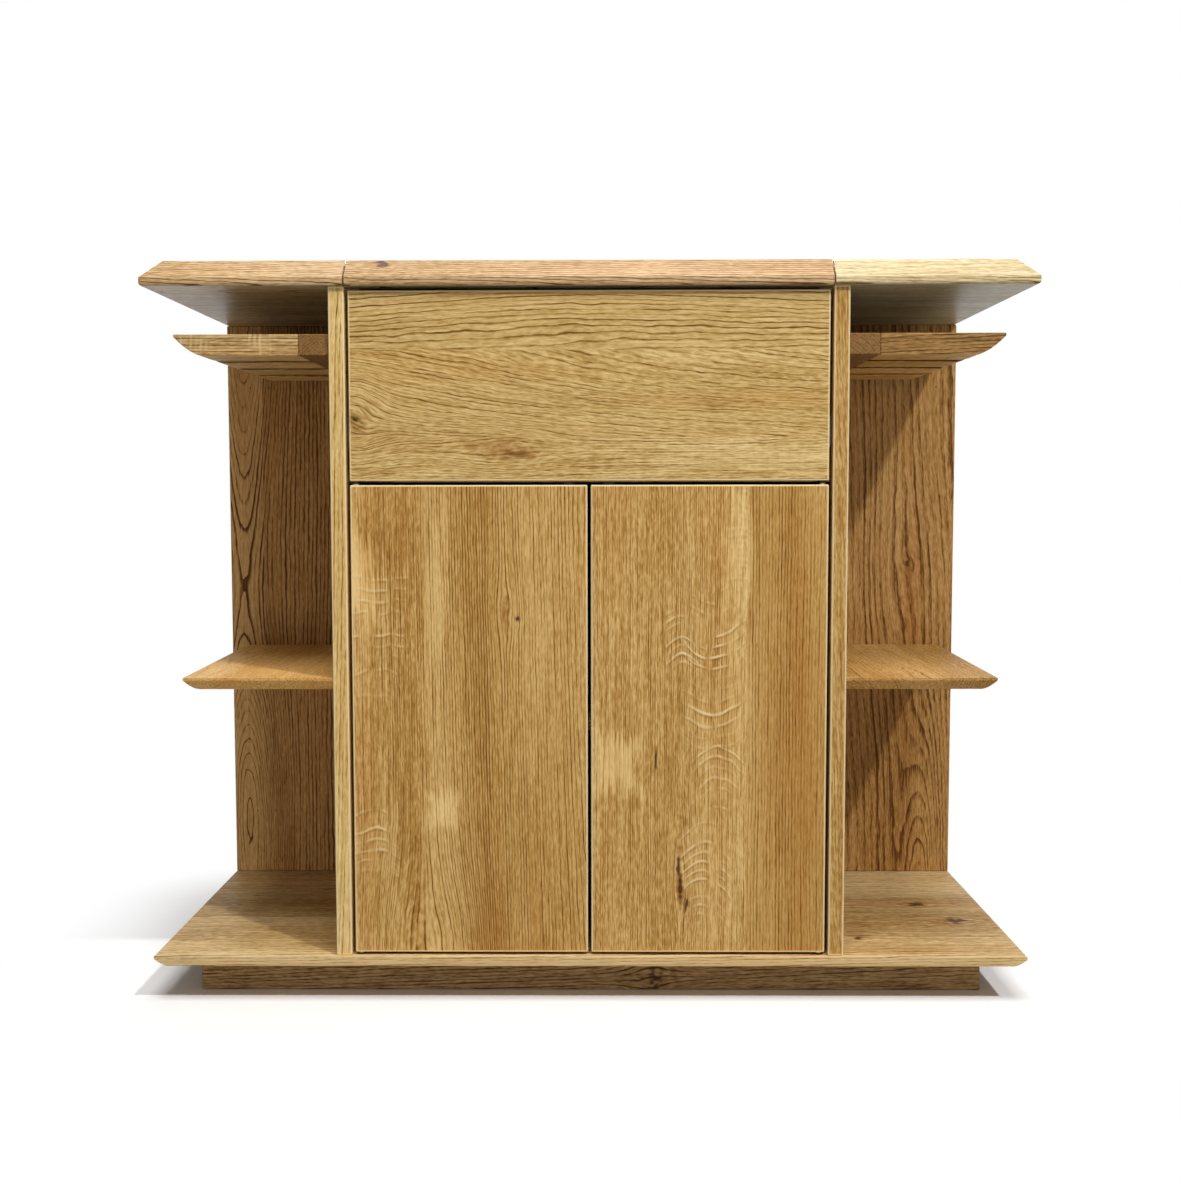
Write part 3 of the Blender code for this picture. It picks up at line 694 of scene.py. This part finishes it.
def drawer_board():
    """Three strips: bold wavy lines at the top, lines that slope down to the right, and a flecked foot."""
    low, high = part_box("drawer_front")
    foot_joint = 0.843
    top_joint = 0.968
    strips = (
        Strip(edge=low.z, heart_across=low.z - 0.20, heart_deep=low.y + 0.10, ring=0.0038,
              lean=-0.015, seed=3.1, lines=0.7, speckle=1.1),
        Strip(edge=foot_joint, heart_across=high.z + 0.16, heart_deep=low.y + 0.03, ring=0.0052,
              lean=0.115, seed=5.6, lines=0.9, line_width=0.42),
        Strip(edge=top_joint, heart_across=high.z + 0.10, heart_deep=low.y + 0.02, ring=0.0068,
              lean=-0.010, seed=1.2, lines=2.0, line_width=0.40, speckle=0.7))
    knots = (
        Knot(along=-0.340, across=0.866, length=0.013, width=0.012, bend=0.85),
        Knot(along=-0.140, across=0.829, length=0.022, width=0.006, bend=0.6, dark=0.0, halo=0.40),
        Knot(along=-0.108, across=0.817, length=0.020, width=0.006, bend=0.4, dark=0.30, halo=0.40),
        Knot(along=0.030, across=0.972, length=0.110, width=0.022, bend=0.42, dark=0.0, halo=0.0))
    patches = (Patch(along=0.26, across=0.815, length=0.20, width=0.030, pale=0.45, ripple=0.15),)
    return Board(
        "XZY", DRAWER_OAK, strips, knots, patches, sway=0.034, ripple=0.004, wobble=0.9, box=(low, high))


def left_door_board():
    """Two strips: rippled on the left, straight bold lines on the right of the joint."""
    low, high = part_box("door_left")
    joint = -0.2443
    strips = (
        Strip(edge=low.x, heart_across=low.x - 0.20, heart_deep=low.y + 0.05, ring=0.0036,
              lean=0.010, seed=1.4, lines=0.8, speckle=0.9),
        Strip(edge=joint, heart_across=0.02, heart_deep=low.y + 0.050, ring=0.0040,
              lean=0.015, dive=0.01, seed=6.3, lines=1.3, line_width=0.45, speckle=0.7))
    knots = (
        Knot(along=0.576, across=-0.106, length=0.0028, width=0.0024, bend=0.2),
        Knot(along=0.590, across=-0.124, length=0.016, width=0.004, bend=0.8, dark=0.15, halo=0.2),
        Knot(along=0.070, across=joint, length=0.040, width=0.016, bend=0.8, dark=0.0, halo=0.0))
    patches = (
        Patch(along=0.640, across=-0.344, length=0.066, width=0.034, pale=1.20, ripple=0.0),
        Patch(along=0.585, across=-0.326, length=0.060, width=0.056, pitch=0.017, pale=0.30, ripple=0.75),
        Patch(along=0.690, across=-0.310, length=0.030, width=0.050, pale=-0.2, ripple=0.0),
        Patch(along=0.478, across=-0.318, length=0.030, width=0.034,
              pitch=0.017, sag=0.5, pale=0.20, ripple=0.7),
        Patch(along=0.245, across=-0.320, length=0.055, width=0.036,
              pitch=0.015, sag=0.9, pale=0.25, ripple=0.75),
        Patch(along=0.620, across=-0.226, length=0.120, width=0.016,
              pitch=0.060, slant=1.6, pale=0.4, ripple=0.4),
        Patch(along=0.288, across=-0.218, length=0.030, width=0.026, pale=1.0, ripple=0.1))
    bands = (
        Band(across=low.x, width=0.022, tone=0.10),
        Band(across=joint - 0.018, width=0.020, tone=-0.04),
        Band(across=joint + 0.022, width=0.020, tone=0.08),
        Band(across=-0.160, width=0.032, tone=-0.10, lines=0.8),
        Band(across=high.x - 0.05, width=0.050, tone=-0.03))
    return Board("ZXY", DOOR_OAK, strips, knots, patches, bands, box=(low, high))


def right_door_board():
    """Two strips: a wide flecked one with arcs of rays by the joint, and a plain narrow one."""
    low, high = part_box("door_right")
    joint = 0.2324
    strips = (
        Strip(edge=low.x, heart_across=low.x + 0.44, heart_deep=low.y + 0.03, ring=0.0033,
              seed=4.4, lines=0.8, speckle=0.95, tone=0.02),
        Strip(edge=joint, heart_across=joint + 0.40, heart_deep=low.y + 0.06, ring=0.0046,
              seed=8.2, lines=0.65, line_width=0.6, speckle=0.45, tone=-0.05))
    knots = (
        Knot(along=0.205, across=0.1325, length=0.022, width=0.0028, bend=0.9),
        Knot(along=0.176, across=0.1350, length=0.016, width=0.0024, bend=0.6),
        Knot(along=0.150, across=0.1440, length=0.010, width=0.0034, bend=0.3),
        Knot(along=0.3635, across=0.0985, length=0.012, width=0.0013, bend=0.2))
    patches = (
        Patch(along=0.480, across=0.182, length=0.130, width=0.050,
              pitch=0.017, sag=-1.5, pale=0.15, ripple=0.95),
        Patch(along=0.545, across=0.136, length=0.045, width=0.028,
              pitch=0.012, sag=1.3, pale=0.05, ripple=0.9),
        Patch(along=0.345, across=0.190, length=0.055, width=0.045,
              pitch=0.015, sag=1.6, pale=0.15, ripple=0.95),
        Patch(along=0.690, across=0.220, length=0.090, width=0.018, pitch=0.009, pale=0.60, ripple=0.3),
        Patch(along=0.420, across=0.214, length=0.300, width=0.024, pale=0.20, ripple=0.0),
        Patch(along=0.360, across=0.040, length=0.046, width=0.040, pale=1.10, ripple=0.0),
        Patch(along=0.200, across=0.170, length=0.080, width=0.046,
              pitch=0.014, sag=3.0, pale=0.10, ripple=0.80))
    bands = (
        Band(across=joint - 0.010, width=0.014, tone=0.03),
        Band(across=0.120, width=0.022, tone=-0.06, lines=0.6),
        Band(across=joint + 0.060, width=0.030, tone=-0.03, lines=0.3))
    return Board("ZXY", DOOR_OAK, strips, knots, patches, bands, box=(low, high))


def back_board():
    """Broad boards: arched rings on the outer left, straight ones by them, wavy ones on the right."""
    low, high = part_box("back_panel")
    left_joint = -0.590
    right_joint = 0.350
    left_heart = -0.622
    right_heart = 0.602
    middle = glue_up(left_joint + 0.15, right_joint, width=0.12, seed=21, deep=low.y)
    strips = (
        Strip(edge=low.x, heart_across=left_heart, heart_deep=low.y - 0.018, ring=0.0062,
              seed=2.2, lines=2.2, line_width=0.75, speckle=0.6, tone=0.12),
        Strip(edge=left_joint, heart_across=left_joint - 0.30, heart_deep=low.y + 0.05, ring=0.0078,
              seed=5.5, lines=1.6, line_width=0.55, speckle=0.7, tone=-0.05),
        *middle,
        Strip(edge=right_joint, heart_across=1.0, heart_deep=low.y + 0.05, ring=0.0130,
              lean=0.04, seed=7.7, lines=1.0, line_width=0.75, speckle=0.7))
    knots = (
        Knot(along=0.636, across=0.569, length=0.006, width=0.004, bend=0.25, dark=0.8, halo=0.3),
        Knot(along=0.625, across=0.566, length=0.044, width=0.013, bend=0.40, dark=0.0, halo=0.0))
    swells = (
        Swell(left_heart, 0.070, foot=0.610, peak=1.15, end=1.40, rings=-9.0),
        Swell(left_heart, 0.060, foot=0.600, peak=0.16, end=-0.40, rings=-11.0),
        Swell(right_heart, 0.032, foot=0.490, peak=0.0, end=-0.50, rings=8.0))
    # Painted shade: darker low on the right of the back panel, on both its faces
    shade = (Patch(along=0.22, across=0.50, length=0.26, width=0.20, pale=-0.50, ripple=0.0),)
    return Board(
        "ZXY", BACK_OAK, strips, knots, shade, swells=swells, sway=0.036, ripple=0.003, contrast=1.15)


def plain_board(node, axes, tone, width, seed, lines=1.0, speckle=1.0, **marks):
    """A glued-up board whose strips lie side by side across it."""
    low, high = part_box(node)
    across = "XYZ".index(axes[1])
    deep = "XYZ".index(axes[2])
    strips = glue_up(low[across], high[across], width, seed, low[deep], lines, speckle)
    return Board(axes, tone, strips, **marks)


def dress(nodes, material):
    """Gives some of the CAD pieces a material."""
    for name in nodes:
        NODES[name].material_slots[0].material = material


def pair(name):
    """The names of the left and the right one of two pieces."""
    return tuple(f"{name}_{side}" for side in SIDES)


def dress_board(node, axes, tone, width, seed, **marks):
    """One glued-up board in an oak of its own."""
    dress([node], oak(f"oak_{node}", plain_board(node, axes, tone, width, seed, **marks)))


def dress_pair(name, material, axes, tone, width, seed):
    """Two like boards, left and right, in one oak."""
    dress(pair(name), oak(material, plain_board(f"{name}_left", axes, tone, width, seed)))


# The top's finish, and the painted light on faces that look down
TOP_FINISH = dict(gloss=0.32, rough=0.36, contrast=1.3, lines=1.9, speckle=0.45, ripple=0.004, cloud=0.45)
TOP_UNDERSIDE = (1.12, 1.38, 1.68)
PALE_TOP_UNDERSIDE = (0.96, 1.12, 1.34)
SHELF_UNDERSIDE = (1.35, 1.35, 1.35)
BASE_UNDERSIDE = (2.4, 2.4, 2.4)
RACK_UNDERSIDE = (1.75, 1.82, 1.85)
BROWN_RACK_UNDERSIDE = (2.3, 2.7, 2.9)


def dress_fronts():
    """The boards whose grain and marks are laid one by one, as the photo has them."""
    boards = {
        "drawer_front": drawer_board(),
        "door_left": left_door_board(),
        "door_right": right_door_board(),
        "back_panel": back_board()}
    for node, board in boards.items():
        dress([node], oak(f"oak_{node}", board))


def dress_top():
    """The three lengths of the top, of which the right one is pale."""
    knots = (Knot(along=-0.299, across=-0.229, length=0.009, width=0.006),)
    dress_board("lid", "XYZ", TOP_OAK, width=0.10, seed=11, knots=knots, underside=TOP_UNDERSIDE,
                **TOP_FINISH)
    dress_board("top_left", "XYZ", TOP_OAK, width=0.10, seed=30, underside=TOP_UNDERSIDE, **TOP_FINISH)
    dress_board("top_right", "XYZ", PALE_TOP_OAK, width=0.10, seed=31, underside=PALE_TOP_UNDERSIDE,
                **TOP_FINISH)


def dress_sides():
    """The sides of the cabinet and the bay shelves, paler on the left."""
    for seed, (name, tone) in enumerate(zip(pair("side_panel"), (PALE_EDGE_OAK, EDGE_OAK)), 40):
        dress_board(name, "ZYX", tone, width=0.12, seed=seed, box=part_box(name))
    for seed, (name, tone) in enumerate(zip(pair("bay_shelf"), (PALE_SHELF_OAK, SHELF_OAK)), 50):
        dress_board(name, "YXZ", tone, width=0.08, seed=seed, lines=0.7, speckle=0.8, cloud=0.4,
                    underside=SHELF_UNDERSIDE)


def dress_base():
    """The base board, with three knots on the right, and the plinth, with one in front."""
    knots = (
        Knot(along=0.543, across=0.021, length=0.012, width=0.008),
        Knot(along=0.584, across=-0.072, length=0.020, width=0.010),
        Knot(along=0.415, across=-0.159, length=0.010, width=0.007))
    # Painted light: a paler band at the rear and a paler band on the front edge
    bands = (
        Band(across=0.15, width=0.12, tone=0.20),
        Band(across=-0.245, width=0.012, tone=0.20))
    # Painted shade: darker on the right front
    shade = (Patch(along=0.50, across=-0.14, length=0.20, width=0.11, pale=-0.60, ripple=0.0),)
    dress_board("base_board", "XYZ", BASE_OAK, width=0.10, seed=60, lines=1.6, speckle=0.7, knots=knots,
                contrast=1.5, cloud=0.9, ripple=0.004, underside=BASE_UNDERSIDE, bands=bands, patches=shade)
    plinth_knots = (Knot(along=0.095, across=0.017, length=0.016, width=0.019, dark=0.8, halo=0.0),)
    dress_board("plinth_front", "XZY", PLINTH_OAK, width=0.06, seed=70, lines=1.4, knots=plinth_knots,
                contrast=1.4)
    dress_board("plinth_rear", "XZY", PLINTH_OAK, width=0.06, seed=71)
    dress_pair("plinth", "oak_plinth_ends", "YZX", PLINTH_OAK, width=0.06, seed=72)


def dress_rack(side, tone, seed, underside):
    """One oak for the rails of a rack, with painted shade on the cheeks in the slots, and a browner one for
    its spine.
    """
    rails = [f"rack_rail_{side}_{k}" for k in range(1, 5)]
    low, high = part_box(rails[0])[0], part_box(rails[-1])[1]
    strips = glue_up(low.y, high.y, width=0.117, seed=seed, deep=low.z, lines=1.6)
    flecks = (
        Patch(along=-0.575, across=low.y, length=0.035, width=0.020, pitch=0.008, pale=0.3, ripple=0.4),
        Patch(along=-0.480, across=low.y, length=0.025, width=0.020, pitch=0.007, pale=0.3, ripple=0.4))
    front = Board("XYZ", tone, strips, patches=flecks, underside=underside)
    dress(rails[:1], oak(f"oak_rack_front_{side}", front))
    # Painted shade on the cheeks of the inner rails, inside the slots
    dress(rails[1:], oak(f"oak_rack_rails_{side}", front._replace(cheeks=SLOT_SHADE)))
    dress_board(f"rack_spine_{side}", "YXZ", SPINE_OAK, width=0.06, seed=seed + 4, lines=0.7, speckle=0.7)


def dress_inside():
    """The plain boards inside the cabinet."""
    dress_board("divider", "XYZ", INSIDE_OAK, width=0.09, seed=90)
    dress_board("inner_shelf", "XYZ", INSIDE_OAK, width=0.09, seed=91)
    dress_pair("lid_rest", "oak_lid_rests", "YZX", INSIDE_OAK, width=0.03, seed=92)
    dress_pair("drawer_side", "oak_drawer_sides", "YZX", INSIDE_OAK, width=0.1, seed=93)
    dress_board("drawer_back", "XZY", INSIDE_OAK, width=0.1, seed=94)


# Waves to the metre in metal, plastic and plywood
BRUSH_WAVES = (2600.0, 180.0, 2600.0)
TARNISH_WAVES = (45.0, 45.0, 45.0)
MOULD_WAVES = (1500.0, 1500.0, 1500.0)
BLOOM_WAVES = (60.0, 60.0, 60.0)
FIBRE_WAVES = (6.0, 420.0, 420.0)
VENEER_WAVES = (2.0, 9.0, 9.0)

STEEL = (0.56, 0.57, 0.58)
BLACK_STEEL = (0.050, 0.048, 0.046)
BRASS = (0.66, 0.47, 0.20)
BLACK_PLASTIC = (0.030, 0.030, 0.032)
BIRCH_STOPS = [(0.3, (0.66, 0.50, 0.30)), (0.6, (0.57, 0.40, 0.21)), (1.0, (0.30, 0.18, 0.08))]
PLIES = 5


def metal(name, colour, roughness):
    """Brushed metal with fine scratches and uneven shine."""
    graph = Graph(name)
    place = graph.vector(*graph.coordinates("Object"))
    brush = graph.noise(place, BRUSH_WAVES, 2.0)
    cloud = graph.noise(place, TARNISH_WAVES, 2.0)
    dull = tuple(0.72 * c for c in colour)
    graph.surface(
        Base_Color=graph.ramp(cloud * 0.6 + brush * 0.4, [(0.30, dull), (0.65, colour)]),
        Metallic=1.0,
        Roughness=roughness + 0.18 * (brush - 0.5) + 0.15 * (cloud - 0.5),
        Normal=graph.bump(brush, 0.00006, 0.4))
    return graph.material


def moulded_plastic(name, colour):
    """Finely textured plastic, a little uneven in colour."""
    graph = Graph(name)
    place = graph.vector(*graph.coordinates("Object"))
    grain = graph.noise(place, MOULD_WAVES, 2.0)
    cloud = graph.noise(place, BLOOM_WAVES, 1.0)
    paler = tuple(min(1.0, 1.2 * c) for c in colour)
    graph.surface(
        Base_Color=graph.ramp(cloud, [(0.3, colour), (0.7, paler)]),
        Roughness=0.48 + 0.2 * (grain - 0.5),
        Normal=graph.bump(grain, 0.00008, 0.35))
    return graph.material


def plywood(name):
    """Birch plywood: a pale, finely flecked face, and plies that show as bands on the edges."""
    graph = Graph(name)
    x, y, z = graph.coordinates("Object")
    low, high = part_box("drawer_bottom")
    ply = (high.z - low.z) / PLIES
    layer = graph.math("FLOOR", (z - low.z) / ply)
    turned = graph.math("MODULO", layer, 2.0)
    fibres = graph.noise(graph.vector(x, y, z), FIBRE_WAVES, 3.0)
    cloud = graph.noise(graph.vector(x, y, z), VENEER_WAVES, 2.0)
    upright = abs(graph.coordinates("Normal")[2])
    edge_band = turned * graph.fade(upright, 0.8, 0.4) * 0.45
    darkness = 0.5 * fibres + 0.5 * cloud + edge_band
    graph.surface(
        Base_Color=graph.ramp(darkness, BIRCH_STOPS),
        Roughness=0.55,
        Normal=graph.bump(fibres, 0.0003, 0.3))
    return graph.material


def dress_fittings():
    """The metal, plastic and plywood pieces, and the screws and brads that are added to them."""
    steel = metal("steel_fittings", STEEL, roughness=0.34)
    black_steel = metal("blackened_steel", BLACK_STEEL, roughness=0.42)
    brass = metal("brass_fittings", BRASS, roughness=0.30)
    plastic = moulded_plastic("black_latch_plastic", BLACK_PLASTIC)
    runners = [f"runner_{part}_{side}" for part in ("outer", "middle", "inner") for side in SIDES]
    spots = [f"{side}_{end}" for side in SIDES for end in ("lower", "upper")]
    pins = [f"shelf_pin_{side}_{row}" for side in SIDES for row in ("front", "rear")]
    dress(runners + pins, steel)
    dress([f"door_pivot_{spot}" for spot in spots], black_steel)
    dress([f"door_bush_{spot}" for spot in spots], brass)
    dress(pair("lid_hinge_fixed_leaf") + pair("lid_hinge_moving_leaf"), brass)
    dress(pair("latch_body") + pair("latch_plunger"), plastic)
    dress(["drawer_bottom"], plywood("birch_plywood"))
    add_hinge_screws(brass, black_steel)
    add_pivot_screws(steel, black_steel)
    add_brads(black_steel)


def loop(shape, outline, height):
    """An outline's points in a shape, at one height."""
    return [shape.verts.new((x, y, height)) for x, y in outline]


def skirt(shape, lower, upper):
    """The band of faces between two loops of as many points."""
    for k in range(len(lower)):
        shape.faces.new((lower[k - 1], lower[k], upper[k], upper[k - 1]))


def edges_round(shape, points):
    """The edges of a loop of points, made where they are missing."""
    edges = []
    for k in range(len(points)):
        ends = (points[k - 1], points[k])
        edges.append(shape.edges.get(ends) or shape.edges.new(ends))
    return edges


def circle(radius, count):
    """The corners of a regular outline."""
    turns = [2 * math.pi * k / count for k in range(count)]
    return [(radius * math.cos(turn), radius * math.sin(turn)) for turn in turns]


def cross(arm, half):
    """The outline of a plus sign."""
    quarter = [(arm, -half), (arm, half), (half, half)]
    outline = []
    for turn in range(4):
        for x, y in quarter:
            for _ in range(turn):
                x, y = -y, x
            outline.append((x, y))
    return outline


def add_screw_head(shape, place, up, radius, rise):
    """One screw head with a cross recess whose floor takes painted shade, standing on a face at a place,
    and facing up or down.
    """
    rim = loop(shape, circle(radius, SCREW_SIDES), 0.0)
    brow = loop(shape, circle(BROW_SHARE * radius, SCREW_SIDES), rise)
    skirt(shape, rim, brow)
    mouth = loop(shape, cross(*(share * radius for share in MOUTH_SHARES)), rise)
    foot = loop(shape, cross(*(share * radius for share in RECESS_SHARES)), RECESS_FLOOR * rise)
    edges = edges_round(shape, brow) + edges_round(shape, mouth)
    bmesh.ops.triangle_fill(shape, edges=edges, use_beauty=True, normal=(0, 0, 1))
    skirt(shape, foot, mouth)
    # Painted shade: the recess floor takes the dark second material
    shape.faces.new(foot).material_index = SHADED_RECESS_SLOT
    turn = Matrix.Translation(place) @ Matrix.Rotation(0.0 if up else math.pi, 4, "X")
    bmesh.ops.transform(shape, verts=rim + brow + mouth + foot, matrix=turn)


def add_object(name, shape, *materials):
    """A named object made from a finished shape."""
    mesh = bpy.data.meshes.new(name)
    shape.to_mesh(mesh)
    shape.free()
    for material in materials:
        mesh.materials.append(material)
    item = bpy.data.objects.new(name, mesh)
    bpy.context.scene.collection.objects.link(item)
    return item


def add_piece(name, shape, body, slot, *materials):
    """A piece of the counter, which moves with a body and takes the given materials. The slot is not used.
    """
    bmesh.ops.recalc_face_normals(shape, faces=shape.faces)
    piece = add_object(name, shape, *materials)
    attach(piece, body)


def add_hinge_screws(brass, dark):
    """Three flush screws in each leaf of the lid's hinges."""
    for leaf, body, up in (("fixed", "carcass", True), ("moving", "lid", False)):
        shape = bmesh.new()
        for name in pair(f"lid_hinge_{leaf}_leaf"):
            low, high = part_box(name)
            middle = (low + high) / 2
            face = middle.z + (-LEAF_GAP / 2 if up else LEAF_GAP / 2)
            for step in (-1, 0, 1):
                place = (middle.x + step * HINGE_SCREW_PITCH, low.y + HINGE_SCREW_INSET, face)
                add_screw_head(shape, place, up, HINGE_SCREW_RADIUS, HINGE_SCREW_RISE)
        add_piece(f"lid_hinge_screws_{leaf}", shape, body, "brass", brass, dark)


def add_pivot_screws(steel, dark):
    """Two pan-headed screws in each door pivot's plate."""
    shape = bmesh.new()
    for side in SIDES:
        for end in ("lower", "upper"):
            low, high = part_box(f"door_pivot_{side}_{end}")
            face = low.z + PIVOT_PLATE if end == "lower" else high.z - PIVOT_PLATE
            for inset in PIVOT_SCREW_INSETS:
                place = ((low.x + high.x) / 2, high.y - inset, face)
                add_screw_head(shape, place, end == "lower", PIVOT_SCREW_RADIUS, PIVOT_SCREW_RISE)
    add_piece("door_pivot_screws", shape, "carcass", "steel", steel, dark)


def add_brads(steel):
    """Small nail heads in the back panel, near the racks and below the bay shelves."""
    shape = bmesh.new()
    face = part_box("back_panel")[0].y
    for x in BRAD_X:
        for z in BRAD_Z:
            rim = loop(shape, circle(BRAD_RADIUS, BRAD_SIDES), 0.0)
            brow = loop(shape, circle(BRAD_BROW_SHARE * BRAD_RADIUS, BRAD_SIDES), BRAD_RISE)
            skirt(shape, rim, brow)
            shape.faces.new(brow)
            turn = Matrix.Translation((x, face, z)) @ Matrix.Rotation(math.pi / 2, 4, "X")
            bmesh.ops.transform(shape, verts=rim + brow, matrix=turn)
    add_piece("back_panel_brads", shape, "carcass", "steel", steel)


def background_rays(tree):
    """A socket that is 1 for rays from the camera, straight or by way of metal or glass."""
    rays = tree.nodes.new("ShaderNodeLightPath").outputs
    shown = rays["Is Camera Ray"]
    for kind in ("Is Glossy Ray", "Is Transmission Ray"):
        either = tree.nodes.new("ShaderNodeMath")
        either.operation = "MAXIMUM"
        tree.links.new(shown, either.inputs[0])
        tree.links.new(rays[kind], either.inputs[1])
        shown = either.outputs[0]
    return shown


def add_floor():
    """A wide round floor, a hair below the plinth."""
    shape = bmesh.new()
    bmesh.ops.create_circle(shape, cap_ends=True, segments=FLOOR_SIDES, radius=FLOOR_RADIUS)
    bmesh.ops.translate(shape, verts=shape.verts, vec=(0, 0, -FLOOR_DROP))
    floor = add_object("floor", shape, floor_material())


def floor_material():
    """Pale near the counter, white further out, and duller in the light that it throws back."""
    graph = Graph("pale_floor")
    x, y, _ = graph.coordinates("Object")
    seen = Signal(graph, background_rays(graph.tree))
    reach = (CAD_BOX[1] - CAD_BOX[0]) / 2
    beside = graph.math("MAXIMUM", abs(x) - reach.x, 0.0)
    before = graph.math("MAXIMUM", abs(y) - reach.y, 0.0)
    far_out = graph.fade(graph.length(beside, before), *FLOOR_FADE)
    near = graph.plain("BsdfDiffuse", FLOOR_COLOUR)
    bounce = graph.plain("BsdfDiffuse", FLOOR_BOUNCE)
    glow = graph.plain("Emission", WHITE)
    shown = graph.blend(far_out, near, glow)
    choice = graph.blend(seen, bounce, shown)
    graph.tree.links.new(choice.outputs[0], graph.tree.nodes["Material Output"].inputs["Surface"])
    graph.tree.nodes.remove(graph.shader)
    return graph.material


def add_surround():
    """An even white world, at full white where it is seen and dimmer where it lights."""
    world = bpy.data.worlds.new("surround")
    bpy.context.scene.world = world
    world.use_nodes = True
    tree = world.node_tree
    ground = tree.nodes["Background"]
    ground.inputs["Color"].default_value = WHITE
    level = tree.nodes.new("ShaderNodeMapRange")
    level.inputs["To Min"].default_value = SURROUND
    tree.links.new(background_rays(tree), level.inputs["Value"])
    tree.links.new(level.outputs["Result"], ground.inputs["Strength"])


def add_lamp(name, place, aim, size, power):
    """An area lamp at a place, turned to what it lights."""
    lamp = bpy.data.lights.new(name, "AREA")
    lamp.shape = "RECTANGLE"
    lamp.size, lamp.size_y = size
    lamp.energy = power
    item = bpy.data.objects.new(name, lamp)
    item.location = place
    item.rotation_euler = (Vector(aim) - Vector(place)).to_track_quat("-Z", "Y").to_euler()
    bpy.context.scene.collection.objects.link(item)


def add_lamps():
    """A small key lamp on the right, wide panels overhead, and fills in front and behind."""
    add_lamp("key_lamp", place=(3.45, -4.0, 6.7), aim=(0.2, 0.0, 0.6), size=(0.30, 0.30), power=345.0)
    add_lamp("overhead_panel", place=(0.1, -2.6, 6.4), aim=(0.0, -0.1, 0.5), size=(3.0, 2.4), power=245.0)
    add_lamp("front_fill", place=(0.2, -3.4, 0.15), aim=(0.0, 0.0, 0.45), size=(2.4, 0.7), power=22.0)
    add_lamp("rim_panel", place=(0.0, 0.5, 4.6), aim=(0.0, -0.2, 1.08), size=(3.0, 1.4), power=27.0)
    add_lamp("rear_fill", place=(0.0, 5.2, 2.4), aim=(0.0, 0.2, 0.55), size=(1.1, 1.8), power=110.0)


def add_camera():
    """The camera that was fitted to the photo."""
    data = bpy.data.cameras.new("photo_camera")
    data.sensor_width = SENSOR
    data.lens = SENSOR * FOCAL_PX / PHOTO_SIDE
    camera = bpy.data.objects.new("photo_camera", data)
    turn = Matrix.Rotation(-CAMERA_YAW, 4, "Z") @ Matrix.Rotation(math.pi / 2 - CAMERA_PITCH, 4, "X")
    camera.matrix_world = Matrix.Translation(CAMERA_PLACE) @ turn @ Matrix.Rotation(-CAMERA_ROLL, 4, "Z")
    bpy.context.scene.collection.objects.link(camera)
    bpy.context.scene.camera = camera


add_camera()
dress_fronts()
dress_top()
dress_sides()
dress_base()
dress_rack("left", RACK_OAK, seed=80, underside=RACK_UNDERSIDE)
dress_rack("right", BROWN_RACK_OAK, seed=81, underside=BROWN_RACK_UNDERSIDE)
dress_inside()
dress_fittings()
add_floor()
add_surround()
add_lamps()
bpy.context.scene.view_settings.view_transform = "Standard"
